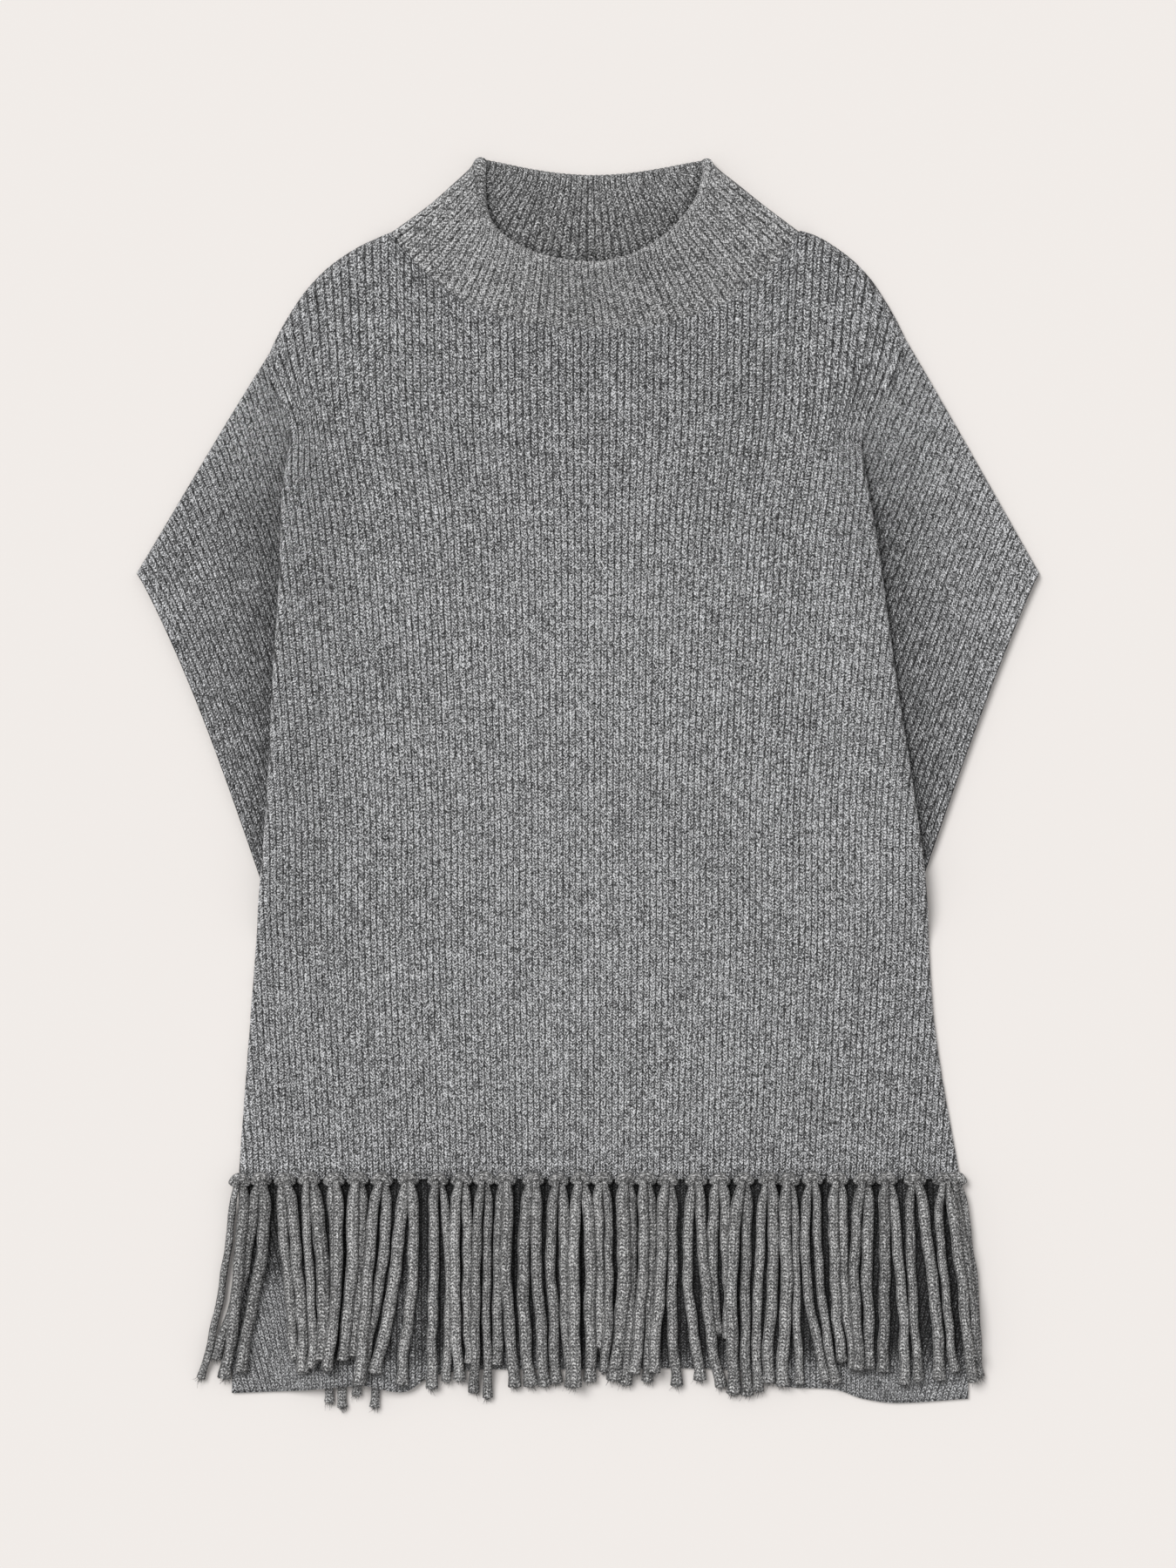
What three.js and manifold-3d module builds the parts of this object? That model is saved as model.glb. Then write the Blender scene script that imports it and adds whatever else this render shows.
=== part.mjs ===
import * as THREE from "three";
import { mergeVertices } from "three/addons/utils/BufferGeometryUtils.js";
import Module from "manifold-3d";

const wasm = await Module();
wasm.setup();
const { Manifold, Mesh } = wasm;

// A knitted poncho sweater laid flat, in millimetres: x across, y from the front hem up to the
// collar, z up from the surface that it lies on.

// The cloth
const WALL = 3;
const HALF = WALL / 2;
const SEAM_GAP = 0.3;
const RIB_HEIGHT = 0.8;
const INNER_STEP = 8; // outer columns to one column of the plain inner skin
const INNER_EDGE = [1, 2, 4]; // its columns in the bend at an edge
const INNER_RING = 4; // its step round a closed ring
const EDGE_RADIUS = 3.2; // bend of the cloth's middle at a folded edge

// Heights of the cloth's middle above the ground
const BACK_UP = HALF;
const FRONT_UP = WALL + SEAM_GAP + HALF;
const FOLD_UP = 11.4; // the body's fold, over the wing

// The front body's sides: the folds over the wings, then the side edges
const SIDES = table("height left right", [
  [0, -248, 264],
  [108, -240, 246],
  [211, -232, 239],
  [272, -227, 231],
  [356, -223, 218],
  [438, -218, 207],
  [494, -218, 200],
  [539, -221, 205],
  [589, -227, 220],
]);
const PIVOT = { height: 539, notch: 10, spread: 38, reach: 24 };
const FOLD = { foot: 165, full: 201, fade: 498, sink: 60 };
const BODY_RIBS = 108;
const BODY_ROWS = [0, 0.2, 0.33, 0.41, 0.6, 0.77, 0.86, 0.93]; // the rest lie in the shoulder's bend

// The shoulders between the wings and the neckline
const SHOULDERS = {
  left: { x: -227, y: 588, power: 1.75 },
  right: { x: 222, y: 602, power: 2.2 },
};

// The wings: each runs from its shoulder edge to its armhole edge
const WING_RIBS = 32;
const WING_BEND = 0.04; // the share of its rows in the bend at the shoulder edge
const WING_ROWS = [0, 0.02, WING_BEND, 0.25, 0.5, 0.75, 1];
const WING_TUCK = 0.5; // what the wing's wall is thinner by where the body's wall holds it
const WINGS = {
  left: { tip: [-320, 431], foot: [-230, 204], top: [-224, 588], hidden: [-202, 522] },
  right: { tip: [320, 431], foot: [235, 204], top: [219, 602], hidden: [184, 522] },
};

// The collar's rings, where it is sewn in and at its rim
const SEAM = {
  centre: 2, side: 675.5, half: 139, frontDip: 69.5, power: 2.6, round: 0.87,
  backDip: 22, frontUp: 9.4, sideUp: 6.6, backUp: 1.9,
};
const RIM = {
  centre: 4, side: 722.5, half: 81, frontDip: 71, power: 1.8, round: 0.28,
  backDip: 8, frontUp: 28, sideUp: 12, backUp: 2.4,
};
const COLLAR_RIBS = { front: 45, back: 35 };
const COLLAR_ROWS = [0, 0.25, 0.5, 0.75, 1];
const COLLAR_FLARE = 0.46;
const STATIONS = [0.3, 0.6, 0.85, 0.97];
const SEAM_CLEAR = { across: 2.8, along: 1.1 }; // from the collar's ring to the panels, in plan
const NECK_HALF = SEAM.half + SEAM_CLEAR.across;
const NECK_RISE = 45; // how far below the neckline the front starts to rise to the collar

// The back panel's lower stretch, below the front hem
const BACK_INSET = EDGE_RADIUS + 1.2;
const BACK_LOW = table("across left low", [
  [-254, -240, -153],
  [-213, -205, -152],
  [-160, -150, -146],
  [-122, -115, -144],
  [-90, -85, -137],
  [0, 0, -136],
  [115, 112, -137],
  [145, 140, -148],
  [190, 188, -152],
  [271, 252, -157],
]);
const BACK_RIBS = 120;
const BACK_ROWS = [0, 0.085, 0.11, 0.4, 0.7, 0.85, 1];
const BACK_LAP = 12; // how far the ribbed stretch starts above the hem
const ARCH = { x: -170, half: 38, height: 8, reach: 34 };

// The fringe
const HEM_STRIP = { wide: 5, low: 4.4, high: 12.6 };
const STRAND = { wide: 6.2, high: 4.2, apart: 8, segments: 4, taper: 0.8, stack: 4.7 };
const TASSELS = table("knot midA tipA endA midB tipB endB", [
  [-248, -261, -276, -142, -250, -258, -142],
  [-233, -247, -265, -128, -236, -249, -137],
  [-216, -216, -208, -128, -206, -202, -137],
  [-199, -198, -196, -132, -189, -188, -128],
  [-181, -180, -185, -130, -179, -177, -134],
  [-164, -169, -174, -129, -163, -166, -126],
  [-147, -158, -162, -145, -149, -154, -143],
  [-128, -139, -151, -138, -126, -133, -146],
  [-107, -110, -111, -149, -99, -100, -144],
  [-90, -95, -91, -143, -86, -85, -131],
  [-74, -80, -82, -152, -72, -72, -156],
  [-59, -64, -66, -132, -58, -53, -148],
  [-39, -46, -41, -147, -36, -30, -147],
  [-21, -26, -22, -145, -16, -13, -148],
  [-5, -10, -10, -147, 2, 1, -144],
  [10, 8, 8, -120, 15, 12, -137],
  [27, 25, 20, -143, 31, 27, -146],
  [41, 39, 32, -138, 45, 41, -144],
  [57, 51, 47, -137, 60, 62, -147],
  [77, 72, 77, -143, 84, 91, -148],
  [94, 89, 91, -110, 99, 101, -113],
  [111, 102, 103, -153, 112, 114, -154],
  [129, 121, 120, -151, 131, 128, -145],
  [143, 141, 138, -147, 149, 151, -146],
  [160, 157, 168, -144, 166, 177, -145],
  [178, 176, 181, -130, 183, 189, -135],
  [197, 190, 192, -135, 199, 200, -135],
  [213, 212, 209, -137, 223, 227, -146],
  [233, 231, 237, -144, 246, 252, -143],
  [253, 254, 262, -137, 264, 273, -143],
]);
const BACK_TIPS = table("knot tip end", [
  [-185, -185, -159],
  [-175, -175, -163],
  [-165, -165, -154],
  [-152, -152, -163],
]);
const BACK_STRIP = { low: 0.3, high: 2.6, y: -134, wide: 4 };
const BACK_STRAND = { wide: 5, high: 2.6, up: 1.6 };

const CLOTH_GREY = 0x8a8b8c;
const INNER_GREY = 0x7c7d7f;
const FRINGE_GREY = 0x828282;

// A table's rows as objects, from its columns' names.
function table(columns, rows) {
  const names = columns.split(" ");
  return rows.map((row) => Object.fromEntries(row.map((value, i) => [names[i], value])));
}

function mix(a, b, share) {
  return a + (b - a) * share;
}

function smooth(low, high, value) {
  return THREE.MathUtils.smoothstep(value, low, high);
}

// A column of a table read at any place of its key column, along a smooth curve.
function read(rows, key, column, at) {
  const last = rows.length - 1;
  if (at <= rows[0][key]) return rows[0][column];
  if (at >= rows[last][key]) return rows[last][column];
  const i = rows.findIndex((row) => row[key] > at) - 1;
  const slope = (k) => {
    const before = rows[Math.max(k - 1, 0)];
    const after = rows[Math.min(k + 1, last)];
    return (after[column] - before[column]) / (after[key] - before[key]);
  };
  const [from, to] = [rows[i], rows[i + 1]];
  const span = to[key] - from[key];
  const s = (at - from[key]) / span;
  const bend = s * (1 - s);
  const straight = mix(from[column], to[column], s * s * (3 - 2 * s));
  return straight + span * bend * (slope(i) * (1 - s) - slope(i + 1) * s);
}

// Triangles between a dense row of points and a sparse one beside it, whose places in the dense
// row are its columns.
function stitch(faces, dense, sparse, columns) {
  for (let k = 0; k < sparse.length - 1; k += 1) {
    const middle = Math.floor((columns[k] + columns[k + 1]) / 2);
    for (let i = columns[k]; i < columns[k + 1]; i += 1) {
      faces.push([dense[i], dense[i + 1], sparse[i < middle ? k : k + 1]]);
    }
    faces.push([sparse[k], dense[middle], sparse[k + 1]]);
  }
}

// The closed solid of a list of points and faces.
function solidOf(points, faces) {
  const geometry = new THREE.BufferGeometry();
  geometry.setAttribute("position", new THREE.Float32BufferAttribute(points.flat(), 3));
  geometry.setIndex(faces.flat());
  const merged = mergeVertices(geometry, 1e-3);
  return new Manifold(
    new Mesh({
      numProp: 3,
      vertProperties: merged.attributes.position.array,
      triVerts: new Uint32Array(merged.index.array),
    }),
  );
}

// The columns of a wall's inner skin, closer together in the bends at its edges.
function innerColumns(columns, closed) {
  const step = closed ? INNER_RING : INNER_STEP;
  const even = Array.from({ length: columns / step + 1 }, (_, k) => k * step);
  if (closed) return even;
  const close = INNER_EDGE.map((column) => columns - column).reverse();
  return [0, ...INNER_EDGE, ...even.slice(1, -1), ...close, columns];
}

// A wall of cloth round a middle surface. Its outer skin has two columns a rib and stands proud on
// every other one; its inner skin is plain. A closed wall joins its last column to its first.
function wall({ middle, columns, rows, relief, closed = false, outward = 1, thin = () => 0 }) {
  const points = [];
  const nudge = 1e-4;
  const clamp = (value) => (closed ? value : THREE.MathUtils.clamp(value, 0, 1));
  const place = (u, v, side, raised) => {
    const at = middle(u, v);
    const du = middle(clamp(u + nudge), v).sub(middle(clamp(u - nudge), v));
    const v1 = Math.min(v + nudge, rows.at(-1));
    const v0 = Math.max(v - nudge, rows[0]);
    const dv = middle(u, v1).sub(middle(u, v0));
    const normal = du.cross(dv).normalize().multiplyScalar(outward);
    const off = side * (HALF - thin(u, v)) + raised;
    points.push(at.addScaledVector(normal, off).toArray());
    return points.length - 1;
  };
  const line = (v, places, side) => {
    const ids = (closed ? places.slice(0, -1) : places).map((column) => {
      const u = column / columns;
      const raised = side > 0 && column % 2 ? relief(u, v) : 0;
      return place(u, v, side, raised);
    });
    return closed ? [...ids, ids[0]] : ids;
  };
  const every = Array.from({ length: columns + 1 }, (_, column) => column);
  const sparse = innerColumns(columns, closed);
  const outer = rows.map((v) => line(v, every, 1));
  const inner = rows.map((v) => line(v, sparse, -1));
  const faces = [];
  const skin = (grid, flip) => {
    for (let j = 0; j < grid.length - 1; j += 1) {
      for (let i = 0; i < grid[j].length - 1; i += 1) {
        const [a, b, c, d] = [grid[j][i], grid[j][i + 1], grid[j + 1][i + 1], grid[j + 1][i]];
        faces.push(flip ? [a, c, b] : [a, b, c], flip ? [a, d, c] : [a, c, d]);
      }
    }
  };
  skin(outer, false);
  skin(inner, true);
  stitch(faces, [...outer[0]].reverse(), [...inner[0]].reverse(), sparse);
  stitch(faces, outer.at(-1), inner.at(-1), sparse);
  if (!closed) {
    const edge = (column) => outer.map((row, j) => [row.at(column), inner[j].at(column)]);
    for (const [pairs, flip] of [[edge(0), false], [edge(-1), true]]) {
      for (let j = 0; j < pairs.length - 1; j += 1) {
        const [[a, b], [d, c]] = [pairs[j], pairs[j + 1]];
        faces.push(flip ? [a, b, c] : [a, c, b], flip ? [a, c, d] : [a, d, c]);
      }
    }
  }
  return solidOf(points, outward > 0 ? faces : faces.map(([a, b, c]) => [a, c, b]));
}

// The neckline's share of its full dip at a place across a collar ring.
function dip(ring, across) {
  return Math.pow(1 - Math.pow(Math.min(Math.abs(across), 1), ring.power), ring.round);
}

function frontNeckline(x) {
  return SEAM.side - (SEAM.frontDip + SEAM_CLEAR.along) * dip(SEAM, (x - SEAM.centre) / NECK_HALF);
}

function backNeckline(x) {
  const across = Math.min(Math.abs((x - SEAM.centre) / NECK_HALF), 1);
  return SEAM.side - (SEAM.backDip + SEAM_CLEAR.along) * (1 - across * across);
}

// The height of the seam ring's front half.
function ringUp(ring, across) {
  return mix(ring.sideUp, ring.frontUp, 1 - across * across);
}

// The shoulder's edge between a wing and the neckline.
function shoulderEdge(x) {
  const side = x < SEAM.centre ? "left" : "right";
  const { x: end, y, power } = SHOULDERS[side];
  const neck = SEAM.centre + Math.sign(end) * NECK_HALF;
  const share = THREE.MathUtils.clamp((x - end) / (neck - end), 0, 1);
  return mix(y, SEAM.side, 1 - Math.pow(1 - share, power));
}

function inNeck(x) {
  return Math.abs(x - SEAM.centre) < NECK_HALF;
}

function bodyTop(x) {
  return inNeck(x) ? frontNeckline(x) : shoulderEdge(x);
}

// How high the body's edge stands over its plain level, at a height above the hem.
function foldLift(y) {
  const full = FOLD_UP - FRONT_UP;
  return full * smooth(FOLD.foot, FOLD.full, y) * (1 - smooth(FOLD.fade, PIVOT.height, y));
}

// The front's rise to the collar near the neckline.
function neckLift(x, y) {
  const across = Math.abs(x - SEAM.centre) / NECK_HALF;
  const near = 1 - smooth(0, NECK_RISE, frontNeckline(x) - y);
  const past = 1 - smooth(1, 1.2, across);
  return (ringUp(SEAM, Math.min(across, 1)) - FRONT_UP) * near * past;
}

// The front body's middle surface. Column 0 is the left edge and row 0 the hem.
function bodyMiddle(u, v) {
  const roll = EDGE_RADIUS;
  const rough = mix(SHOULDERS.left.x, SHOULDERS.right.x, u);
  const top = bodyTop(rough);
  const shoulder = inNeck(rough) ? 0 : smooth(0, 12, Math.abs(rough - SEAM.centre) - NECK_HALF);
  const length = top + (Math.PI / 2 - 1) * roll * shoulder;
  const run = v * length;
  const bend = Math.max(run - (length - (Math.PI / 2) * roll), 0) / roll;
  const y = shoulder > 0 && bend > 0 ? top - roll * shoulder + roll * shoulder * Math.sin(bend) : run;
  const over = shoulder * roll * (1 - Math.cos(bend));
  const notch = PIVOT.notch * Math.exp(-(((y - PIVOT.height) / PIVOT.spread) ** 2));
  const left = read(SIDES, "height", "left", y);
  const right = read(SIDES, "height", "right", y);
  const lip = roll * (1 - smooth(FOLD.fade, PIVOT.height, y));
  const arc = (Math.PI / 2) * lip;
  const width = right - left + 2 * (arc - lip);
  const fromLeft = u * width;
  const fromRight = (1 - u) * width;
  const near = Math.min(fromLeft, fromRight);
  const turn = lip > 0.01 ? Math.max(arc - near, 0) / lip : 0;
  const inside = near - arc + lip;
  const reach = turn > 0 ? lip * (1 - Math.cos(near / lip)) : inside;
  const fade = Math.exp(-((near / PIVOT.reach) ** 2));
  const x = fromLeft < fromRight ? left + reach + notch * fade : right - reach - notch * fade;
  const lift = foldLift(y) * (1 - smooth(0, FOLD.sink, reach));
  const down = turn > 0 ? lip * (1 - Math.sin(near / lip)) : 0;
  return new THREE.Vector3(x, y, FRONT_UP + lift + neckLift(x, y) - down - over);
}

// A wing's middle surface. Column 0 is the armhole edge and row 0 the shoulder edge.
function wingMiddle(side) {
  const { tip, foot, top, hidden } = WINGS[side];
  return (u, v) => {
    const roll = EDGE_RADIUS;
    const start = [mix(tip[0], top[0], u), mix(tip[1], top[1], u)];
    const end = [mix(foot[0], hidden[0], u), mix(foot[1], hidden[1], u)];
    const length = Math.hypot(end[0] - start[0], end[1] - start[1]);
    const turn = ((Math.PI / 2) * Math.min(v, WING_BEND)) / WING_BEND;
    const flat = (length - roll) * Math.max(v - WING_BEND, 0) / (1 - WING_BEND);
    const along = roll * (1 - Math.cos(turn)) + flat;
    const down = roll * (1 - Math.sin(turn));
    const x = mix(start[0], end[0], along / length);
    const y = mix(start[1], end[1], along / length);
    const edge = 0.8 * (1 - smooth(0, 0.15, u)) * smooth(0, 0.2, v);
    return new THREE.Vector3(x, y, FRONT_UP + edge - down);
  };
}

function frontBody() {
  const bend = ((Math.PI / 2) * EDGE_RADIUS) / SHOULDERS.left.y;
  return wall({
    middle: bodyMiddle,
    columns: 2 * BODY_RIBS,
    rows: [...BODY_ROWS, 1 - bend, 1 - bend / 2, 1],
    relief: () => RIB_HEIGHT,
  });
}

function frontWing(side) {
  return wall({
    middle: wingMiddle(side),
    columns: 2 * WING_RIBS,
    rows: WING_ROWS,
    relief: (u, v) => RIB_HEIGHT * (1 - smooth(0.8, 0.97, v)) * (1 - smooth(0.9, 0.98, u)),
    outward: side === "left" ? -1 : 1,
    thin: (u) => (WING_TUCK / 2) * smooth(0.88, 0.96, u),
  });
}

// The height that the back panel's lower edge is lifted by, over the tips of its own fringe.
function archLift(x, y) {
  const across = Math.exp(-(((x - ARCH.x) / ARCH.half) ** 4));
  return ARCH.height * across * (1 - smooth(0, ARCH.reach, y - lowEdge(x)));
}

function lowEdge(x) {
  return read(BACK_LOW, "across", "low", x);
}

// The back panel's lower stretch, ribbed on the face that shows.
function backSkirt() {
  const left = BACK_LOW[0];
  const right = BACK_LOW.at(-1);
  const hemLeft = SIDES[0].left + BACK_INSET;
  const hemRight = SIDES[0].right - BACK_INSET;
  return wall({
    middle: (u, v) => {
      const low = lowEdge(mix(left.across, right.across, u));
      const y = mix(BACK_LAP, low, v);
      const spread = smooth(0.3, 0.85, v);
      const x = mix(mix(hemLeft, left.across, spread), mix(hemRight, right.across, spread), u);
      return new THREE.Vector3(x, y, BACK_UP + archLift(x, y));
    },
    columns: 2 * BACK_RIBS,
    rows: BACK_ROWS,
    relief: (u, v) => RIB_HEIGHT * smooth(BACK_ROWS[1], BACK_ROWS[2], v),
    outward: -1,
  });
}

// The back panel above the hem, plain where the front hides it.
function backPanel() {
  const outline = [];
  const add = (x, y) => outline.push(new THREE.Vector2(x, y));
  const steps = 12;
  const floor = BACK_LAP - 4;
  const side = (edge, i) => {
    const y = mix(floor, WINGS[edge].foot[1], i / steps);
    add(read(SIDES, "height", edge, y) + (edge === "left" ? BACK_INSET : -BACK_INSET), y);
  };
  const shoulder = (edge, i) => {
    const inward = edge === "left" ? BACK_INSET : -BACK_INSET;
    const x = mix(SHOULDERS[edge].x, SEAM.centre + Math.sign(SHOULDERS[edge].x) * NECK_HALF, i / steps);
    add(x + inward, shoulderEdge(x) - 1.5 * BACK_INSET);
  };
  for (let i = 0; i <= steps; i += 1) side("right", i);
  add(WINGS.right.tip[0] - 1.5 * BACK_INSET, WINGS.right.tip[1] - BACK_INSET);
  for (let i = 0; i < steps; i += 1) shoulder("right", i);
  for (let i = 0; i <= 2 * steps; i += 1) {
    const across = 1 - i / steps;
    const x = SEAM.centre + (NECK_HALF - BACK_INSET) * across;
    add(x, backNeckline(x) - mix(SEAM_GAP, BACK_INSET, across ** 4));
  }
  for (let i = steps - 1; i >= 0; i -= 1) shoulder("left", i);
  add(WINGS.left.tip[0] + 1.5 * BACK_INSET, WINGS.left.tip[1] - BACK_INSET);
  for (let i = steps; i >= 0; i -= 1) side("left", i);
  const plate = new THREE.ExtrudeGeometry(new THREE.Shape(outline), {
    depth: WALL,
    bevelEnabled: false,
  });
  plate.deleteAttribute("normal");
  plate.deleteAttribute("uv");
  const merged = mergeVertices(plate, 1e-3);
  return new Manifold(
    new Mesh({
      numProp: 3,
      vertProperties: merged.attributes.position.array,
      triVerts: new Uint32Array(merged.index.array),
    }),
  );
}

// One of the collar's rings: a closed curve from its left side along the front and back again.
function collarRing(ring) {
  const front = [...STATIONS].reverse().map((t) => -t).concat(0, STATIONS);
  const points = [];
  const add = (across, y, z) => {
    points.push(new THREE.Vector3(ring.centre + across * ring.half, y, z));
  };
  const sideUp = (ring.sideUp + ring.backUp) / 2;
  add(-1, ring.side, sideUp);
  for (const t of front) add(t, ring.side - ring.frontDip * dip(ring, t), ringUp(ring, t));
  add(1, ring.side, sideUp);
  for (const t of [...front].reverse()) add(t, ring.side - ring.backDip * (1 - t * t), ring.backUp);
  const curve = new THREE.CatmullRomCurve3(points, true, "centripetal");
  const divisions = points.length * 20;
  const lengths = curve.getLengths(divisions);
  const frontShare = lengths[divisions / 2] / lengths[divisions];
  const frontPart = COLLAR_RIBS.front / (COLLAR_RIBS.front + COLLAR_RIBS.back);
  return (u) => {
    const turn = ((u % 1) + 1) % 1;
    if (turn < frontPart) return curve.getPointAt((turn / frontPart) * frontShare);
    return curve.getPointAt(mix(frontShare, 1, (turn - frontPart) / (1 - frontPart)));
  };
}

function collarSolid() {
  const seam = collarRing(SEAM);
  const rim = collarRing(RIM);
  const frontPart = COLLAR_RIBS.front / (COLLAR_RIBS.front + COLLAR_RIBS.back);
  return wall({
    middle: (u, v) => {
      const [low, high] = [seam(u), rim(u)];
      const flare = v + COLLAR_FLARE * v * (1 - v);
      const x = mix(low.x, high.x, flare);
      return new THREE.Vector3(x, mix(low.y, high.y, v), mix(low.z, high.z, v));
    },
    columns: 2 * (COLLAR_RIBS.front + COLLAR_RIBS.back),
    rows: COLLAR_ROWS,
    relief: (u) => RIB_HEIGHT * smooth(0, 0.02, u) * (1 - smooth(frontPart - 0.02, frontPart, u)),
    closed: true,
  });
}

// A strand of four sides through places on its way, with a square-cut end.
function strand(way, wide, high, taper) {
  const points = [];
  const faces = [];
  way.forEach((at, i) => {
    const next = way[Math.min(i + 1, way.length - 1)];
    const back = way[Math.max(i - 1, 0)];
    const side = new THREE.Vector3(back.y - next.y, next.x - back.x, 0).normalize();
    const scale = mix(1, taper, i / (way.length - 1));
    for (const [across, up] of [[-1, -1], [1, -1], [1, 1], [-1, 1]]) {
      const corner = at.clone().addScaledVector(side, (across * wide * scale) / 2);
      points.push([corner.x, corner.y, corner.z + (up * high * scale) / 2]);
    }
    if (i === 0) return;
    for (let k = 0; k < 4; k += 1) {
      const [a, b] = [4 * (i - 1) + k, 4 * (i - 1) + ((k + 1) % 4)];
      faces.push([a, b, b + 4], [a, b + 4, a + 4]);
    }
  });
  const end = 4 * (way.length - 1);
  faces.push([0, 2, 1], [0, 3, 2], [end, end + 1, end + 2], [end, end + 2, end + 3]);
  return solidOf(points, faces);
}

// A bar of cloth along a hem.
function strip(left, right, y, wide, low, high) {
  const bar = new THREE.BoxGeometry(right - left, wide, high - low);
  bar.translate((left + right) / 2, y, (low + high) / 2);
  bar.deleteAttribute("normal");
  bar.deleteAttribute("uv");
  const merged = mergeVertices(bar, 1e-3);
  return solidOf(
    Array.from({ length: merged.attributes.position.count }, (_, i) => [
      merged.attributes.position.getX(i),
      merged.attributes.position.getY(i),
      merged.attributes.position.getZ(i),
    ]),
    Array.from({ length: merged.index.count / 3 }, (_, i) =>
      Array.from(merged.index.array.slice(3 * i, 3 * i + 3)),
    ),
  );
}

// The height of the bed that a strand lies on at a place: the back panel's ribs.
function bedUp(x, y) {
  return WALL + RIB_HEIGHT + 2 * SEAM_GAP + archLift(x, y);
}

function frontStrand(root, middle, tip, end, level) {
  const way = [];
  for (let i = 0; i <= STRAND.segments; i += 1) {
    const s = i / STRAND.segments;
    const y = mix(-HEM_STRIP.wide / 2, end, s);
    const bend = 4 * s * (1 - s);
    const x = mix(root, tip, s) + (middle - mix(root, tip, 0.5)) * bend;
    const z = bedUp(x, y) + STRAND.high / 2 + level * STRAND.stack;
    way.push(new THREE.Vector3(x, y, z));
  }
  return strand(way, STRAND.wide, STRAND.high, STRAND.taper);
}

function frontFringe() {
  const y = -SEAM_GAP - HEM_STRIP.wide / 2;
  const left = TASSELS[0].knot - STRAND.apart;
  const right = TASSELS.at(-1).knot + STRAND.apart;
  let made = strip(left, right, y, HEM_STRIP.wide, HEM_STRIP.low, HEM_STRIP.high);
  for (const { knot, midA, tipA, endA, midB, tipB, endB } of TASSELS) {
    made = made.add(frontStrand(knot - STRAND.apart / 2, midA, tipA, endA, 0));
    made = made.add(frontStrand(knot + STRAND.apart / 2, midB, tipB, endB, 1));
  }
  return made;
}

function backFringe() {
  const { low, high, y, wide } = BACK_STRIP;
  const from = BACK_TIPS[0].knot - BACK_STRAND.wide / 2;
  const to = BACK_TIPS.at(-1).knot + BACK_STRAND.wide / 2;
  let made = strip(from, to, y, wide, low, high);
  for (const { knot, tip, end } of BACK_TIPS) {
    const way = [
      new THREE.Vector3(knot, y, BACK_STRAND.up),
      new THREE.Vector3(tip, end, BACK_STRAND.up),
    ];
    made = made.add(strand(way, BACK_STRAND.wide, BACK_STRAND.high, STRAND.taper));
  }
  return made;
}

// A named mesh of a finished solid, with any pocket sealed between two layers filled.
function piece(name, solid, colour) {
  const whole = solid.decompose().reduce((a, b) => (a.volume() > b.volume() ? a : b));
  const { numProp, vertProperties, triVerts } = whole.getMesh();
  const flat = new THREE.InterleavedBuffer(vertProperties, numProp);
  const geometry = new THREE.BufferGeometry();
  geometry.setAttribute("position", new THREE.InterleavedBufferAttribute(flat, 3, 0));
  geometry.setIndex(new THREE.BufferAttribute(triVerts, 1));
  const knit = new THREE.MeshStandardMaterial({ color: colour, roughness: 0.95, metalness: 0 });
  const mesh = new THREE.Mesh(geometry.toNonIndexed(), knit);
  mesh.name = name;
  return mesh;
}

const sweater = new THREE.Group();
sweater.add(
  piece("back", backPanel().add(backSkirt()), INNER_GREY),
  piece("front", frontBody().add(frontWing("left")).add(frontWing("right")), CLOTH_GREY),
  piece("collar", collarSolid(), CLOTH_GREY),
  piece("front_fringe", frontFringe(), FRINGE_GREY),
  piece("back_fringe", backFringe(), FRINGE_GREY),
);

// The origin is under the middle of the whole.
const box = new THREE.Box3().setFromObject(sweater);
const middle = box.getCenter(new THREE.Vector3());
sweater.position.set(-middle.x, -middle.y, -box.min.z);

export default sweater;
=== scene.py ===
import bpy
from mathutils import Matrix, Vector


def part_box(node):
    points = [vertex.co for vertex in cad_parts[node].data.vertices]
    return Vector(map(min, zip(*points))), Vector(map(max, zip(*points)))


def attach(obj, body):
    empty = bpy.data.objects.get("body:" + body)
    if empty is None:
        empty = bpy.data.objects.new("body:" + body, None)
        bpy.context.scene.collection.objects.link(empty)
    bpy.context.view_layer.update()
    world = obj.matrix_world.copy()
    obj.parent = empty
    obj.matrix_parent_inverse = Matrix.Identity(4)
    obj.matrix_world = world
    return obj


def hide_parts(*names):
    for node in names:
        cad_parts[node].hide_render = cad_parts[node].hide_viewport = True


bl_info = {
    "name": "Knitted Poncho Sweater",
    "version": (1, 0, 0),
    "blender": (4, 5, 0),
    "location": "View3D > Sidebar > Poncho",
    "description": "Builds a ribbed and fringed poncho sweater, laid flat",
    "category": "Object",
}

import math

import bmesh
import bpy
import numpy as np
from bpy.props import FloatProperty, FloatVectorProperty, IntProperty, PointerProperty
from bpy.types import Operator, Panel, PropertyGroup
from mathutils import Vector

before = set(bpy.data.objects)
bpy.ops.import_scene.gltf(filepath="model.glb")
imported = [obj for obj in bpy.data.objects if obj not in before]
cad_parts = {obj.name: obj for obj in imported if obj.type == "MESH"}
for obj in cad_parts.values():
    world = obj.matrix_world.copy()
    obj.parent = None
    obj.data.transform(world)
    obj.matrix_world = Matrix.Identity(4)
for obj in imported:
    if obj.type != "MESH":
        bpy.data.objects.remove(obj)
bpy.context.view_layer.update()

# Sizes are in millimetres, x across, y from the front hem up to the collar, z up from the ground
MM = 0.001
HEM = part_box("front")[0][1]

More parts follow.
